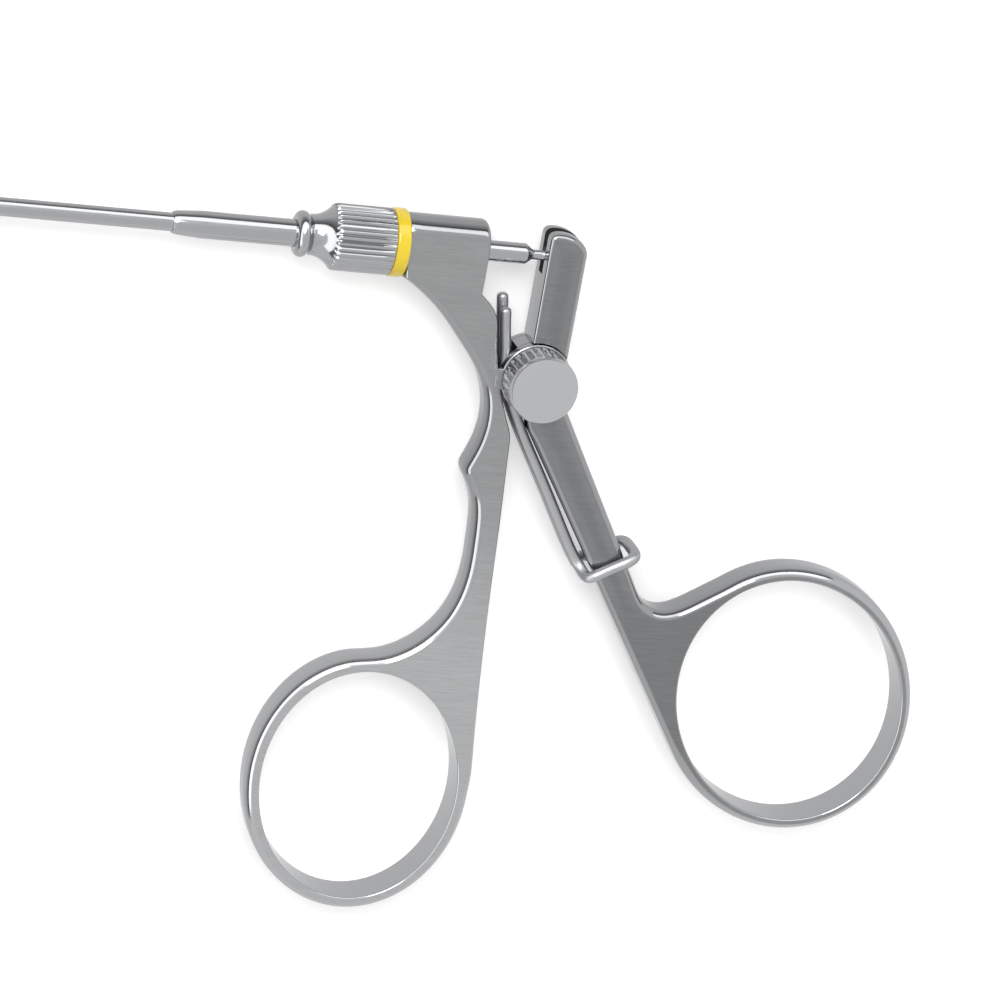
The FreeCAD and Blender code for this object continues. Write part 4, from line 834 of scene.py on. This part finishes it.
def moulded_yellow():
    """Yellow moulded ring, glossy, with a faint unevenness of the colour."""
    material = new_material("moulded_yellow_plastic")
    place = add(material, "ShaderNodeTexCoord")
    cloud = add(material, "ShaderNodeTexNoise", {
        "Vector": place.outputs["Object"], "Scale": 260.0, "Detail": 2.0})
    mixed = add(material, "ShaderNodeMix", {
        "Factor": cloud.outputs["Fac"], 6: linear("E6C619"), 7: linear("EFD22C")}, data_type="RGBA")
    shader = add(material, "ShaderNodeBsdfPrincipled", {
        "Base Color": mixed.outputs[2], "Roughness": 0.24, "IOR": 1.5, "Coat Weight": 0.3,
        "Coat Roughness": 0.1})
    return finish_material(material, shader)


def plain_polymer(name, hex_colour, roughness):
    """Moulded polymer with a fine matt grain."""
    material = new_material(name)
    place = add(material, "ShaderNodeTexCoord")
    grain = add(material, "ShaderNodeTexNoise", {
        "Vector": place.outputs["Object"], "Scale": 4000.0, "Detail": 2.0})
    bump = add(material, "ShaderNodeBump", {
        "Strength": 0.15, "Distance": 0.00002, "Height": grain.outputs["Fac"]})
    shader = add(material, "ShaderNodeBsdfPrincipled", {
        "Base Color": linear(hex_colour), "Roughness": roughness, "IOR": 1.5, "Normal": bump.outputs[0]})
    return finish_material(material, shader)


def dress(piece, material):
    """Gives a piece, or a CAD node by its name, its material."""
    if isinstance(piece, str):
        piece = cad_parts[piece]
    piece.data.materials.clear()
    piece.data.materials.append(material)


# Studio

def white_room():
    """Pale surroundings: white to the camera and to reflections, softer as light on the object."""
    world = bpy.data.worlds.new("white_room")
    bpy.context.scene.world = world
    world.use_nodes = True
    world.node_tree.nodes.clear()
    path = add(world, "ShaderNodeLightPath")
    seen = add(world, "ShaderNodeMath", {
        0: path.outputs["Is Camera Ray"], 1: path.outputs["Is Glossy Ray"]}, operation="MAXIMUM")
    seen_too = add(world, "ShaderNodeMath", {
        0: seen.outputs[0], 1: path.outputs["Is Transmission Ray"]}, operation="MAXIMUM")
    strength = add(world, "ShaderNodeMapRange", {
        "Value": seen_too.outputs[0], "To Min": 0.45, "To Max": 1.0})
    light = add(world, "ShaderNodeBackground", {"Color": (1, 1, 1, 1), "Strength": strength.outputs[0]})
    add(world, "ShaderNodeOutputWorld", {"Surface": light.outputs[0]})


def lamp(name, place, target, width, height, power):
    """Soft rectangular lamp; places are in metres."""
    data = bpy.data.lights.new(name, "AREA")
    data.shape = "RECTANGLE"
    data.size = width
    data.size_y = height
    data.energy = power
    lit = bpy.data.objects.new(name, data)
    bpy.context.scene.collection.objects.link(lit)
    lit.matrix_world = aimed(place, target)
    return lit


def floor():
    """White sweep under the object that keeps its soft shadow; reflections don't show it."""
    material = new_material("white_sweep")
    path = add(material, "ShaderNodeLightPath")
    matt = add(material, "ShaderNodeBsdfDiffuse", {"Color": (0.8, 0.8, 0.8, 1.0)})
    level = add(material, "ShaderNodeMath", {
        0: path.outputs["Is Camera Ray"], 1: 0.42}, operation="MULTIPLY")
    glow = add(material, "ShaderNodeEmission", {"Color": (1, 1, 1, 1), "Strength": level.outputs[0]})
    both = add(material, "ShaderNodeAddShader", {0: matt.outputs[0], 1: glow.outputs[0]})
    finish_material(material, both)
    mesh = bpy.data.meshes.new("floor")
    reach = 3.0
    mesh.from_pydata([(-reach, -reach, low), (reach, -reach, low), (reach, reach, low), (-reach, reach, low)],
                     [], [(0, 1, 2, 3)])
    mesh.materials.append(material)
    sheet = bpy.data.objects.new("floor", mesh)
    bpy.context.scene.collection.objects.link(sheet)
    sheet.visible_glossy = False
    return sheet


low = cad_box[0][2]
place_camera()
white_room()
floor()
middle_x, middle_y = 0.06, -0.04
middle = (middle_x, middle_y, 0.0)
lamp("key", (-0.25, 0.55, 0.75), middle, 0.5, 0.5, 6.0)
lamp("fill", (0.7, -0.3, 0.6), middle, 0.6, 0.6, 2.5).visible_glossy = False
card("overhead_grey_card", (0.35, -0.37, 0.95), middle, 1.3, 1.3, 0.92)
card("light_under", (middle_x, middle_y, -0.46), middle, 2.4, 2.4, 0.85)
wall_radius, flag_radius = 1.05, 0.9
for turn in range(60, 240, 30):
    away = math.radians(turn)
    out_x, out_y = math.cos(away), math.sin(away)
    card("white_wall_%d" % turn, (middle_x + wall_radius * out_x, middle_y + wall_radius * out_y, 0.53),
         (middle_x, middle_y, 0.1), 0.58, 0.74, 2.4)
    card("dark_flag_%d" % turn, (middle_x + flag_radius * out_x, middle_y + flag_radius * out_y, -0.1),
         (middle_x, middle_y, -0.1), 0.5, 0.6, 0.02, 0.8)

# painted shade and light: the handle's colour is made darker towards the barrel and the screw, lighter at the
# finger ring
handle_steel_painted_shade = belt_ground_steel("belt_ground_steel_handle_painted_shade", 2.0, "A9AAAB", "A9AAAC",
                                 "Y", -0.068, -0.03, 1.12, 0.82)
# painted shade and light: the lever's flats are coloured darker than the handle's, and lighter towards the
# thumb ring's far end
lever_steel_painted_shade = belt_ground_steel("belt_ground_steel_lever_painted_shade", 30.0, "7E7F80", "9C9D9F",
                              "X", 0.088, 0.108, 1.0, 1.3)
bright = turned_steel("lathe_turned_steel")
faced = turned_steel("faced_steel_knob", "BCBDBF", 0.24, 2500.0, 0.1, (0, 0, 1), 0.012)
wire = turned_steel("drawn_spring_wire", "ABACAE", 0.42, 300.0, 0.05)


def put(pieces, node, body, material):
    """New pieces take a CAD node's place on its body."""
    pieces = pieces if isinstance(pieces, list) else [pieces]
    for piece in pieces:
        dress(piece, material)
        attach(piece, body)
        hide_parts(node)


put(fixed_handle(), "fixed_handle", "handle", handle_steel_painted_shade)
put(lever(), "lever", "lever", lever_steel_painted_shade)
put(return_spring(), "return_spring", "lever", wire)
put(rotation_wheel(), "rotation_wheel", "shaft", bright)
put(knob(), "pivot_screw", "pivot_screw", faced)
put(shaft_sleeve(), "shaft_sleeve", "shaft", bright)
put(rod_rear(), "rod_end", "rod", bright)
put(ring_band(), "colour_ring", "shaft", moulded_yellow())
for name in ("wheel_hub", "outer_tube", "jaw_clevis", "jaw_pivot_pin",
             "drive_rod", "drive_pin", "upper_jaw", "lower_jaw", "rod_gland"):
    dress(name, bright)
dress("retaining_clip", wire)
for name in ("barrel_bush", "pivot_bush"):
    dress(name, plain_polymer("moulded_bearing_polymer", "B9A982", 0.5))
for name in ("rod_seal", "hub_seal"):
    dress(name, plain_polymer("moulded_black_rubber", "1C1C1C", 0.7))

bpy.context.scene.view_settings.view_transform = "Standard"
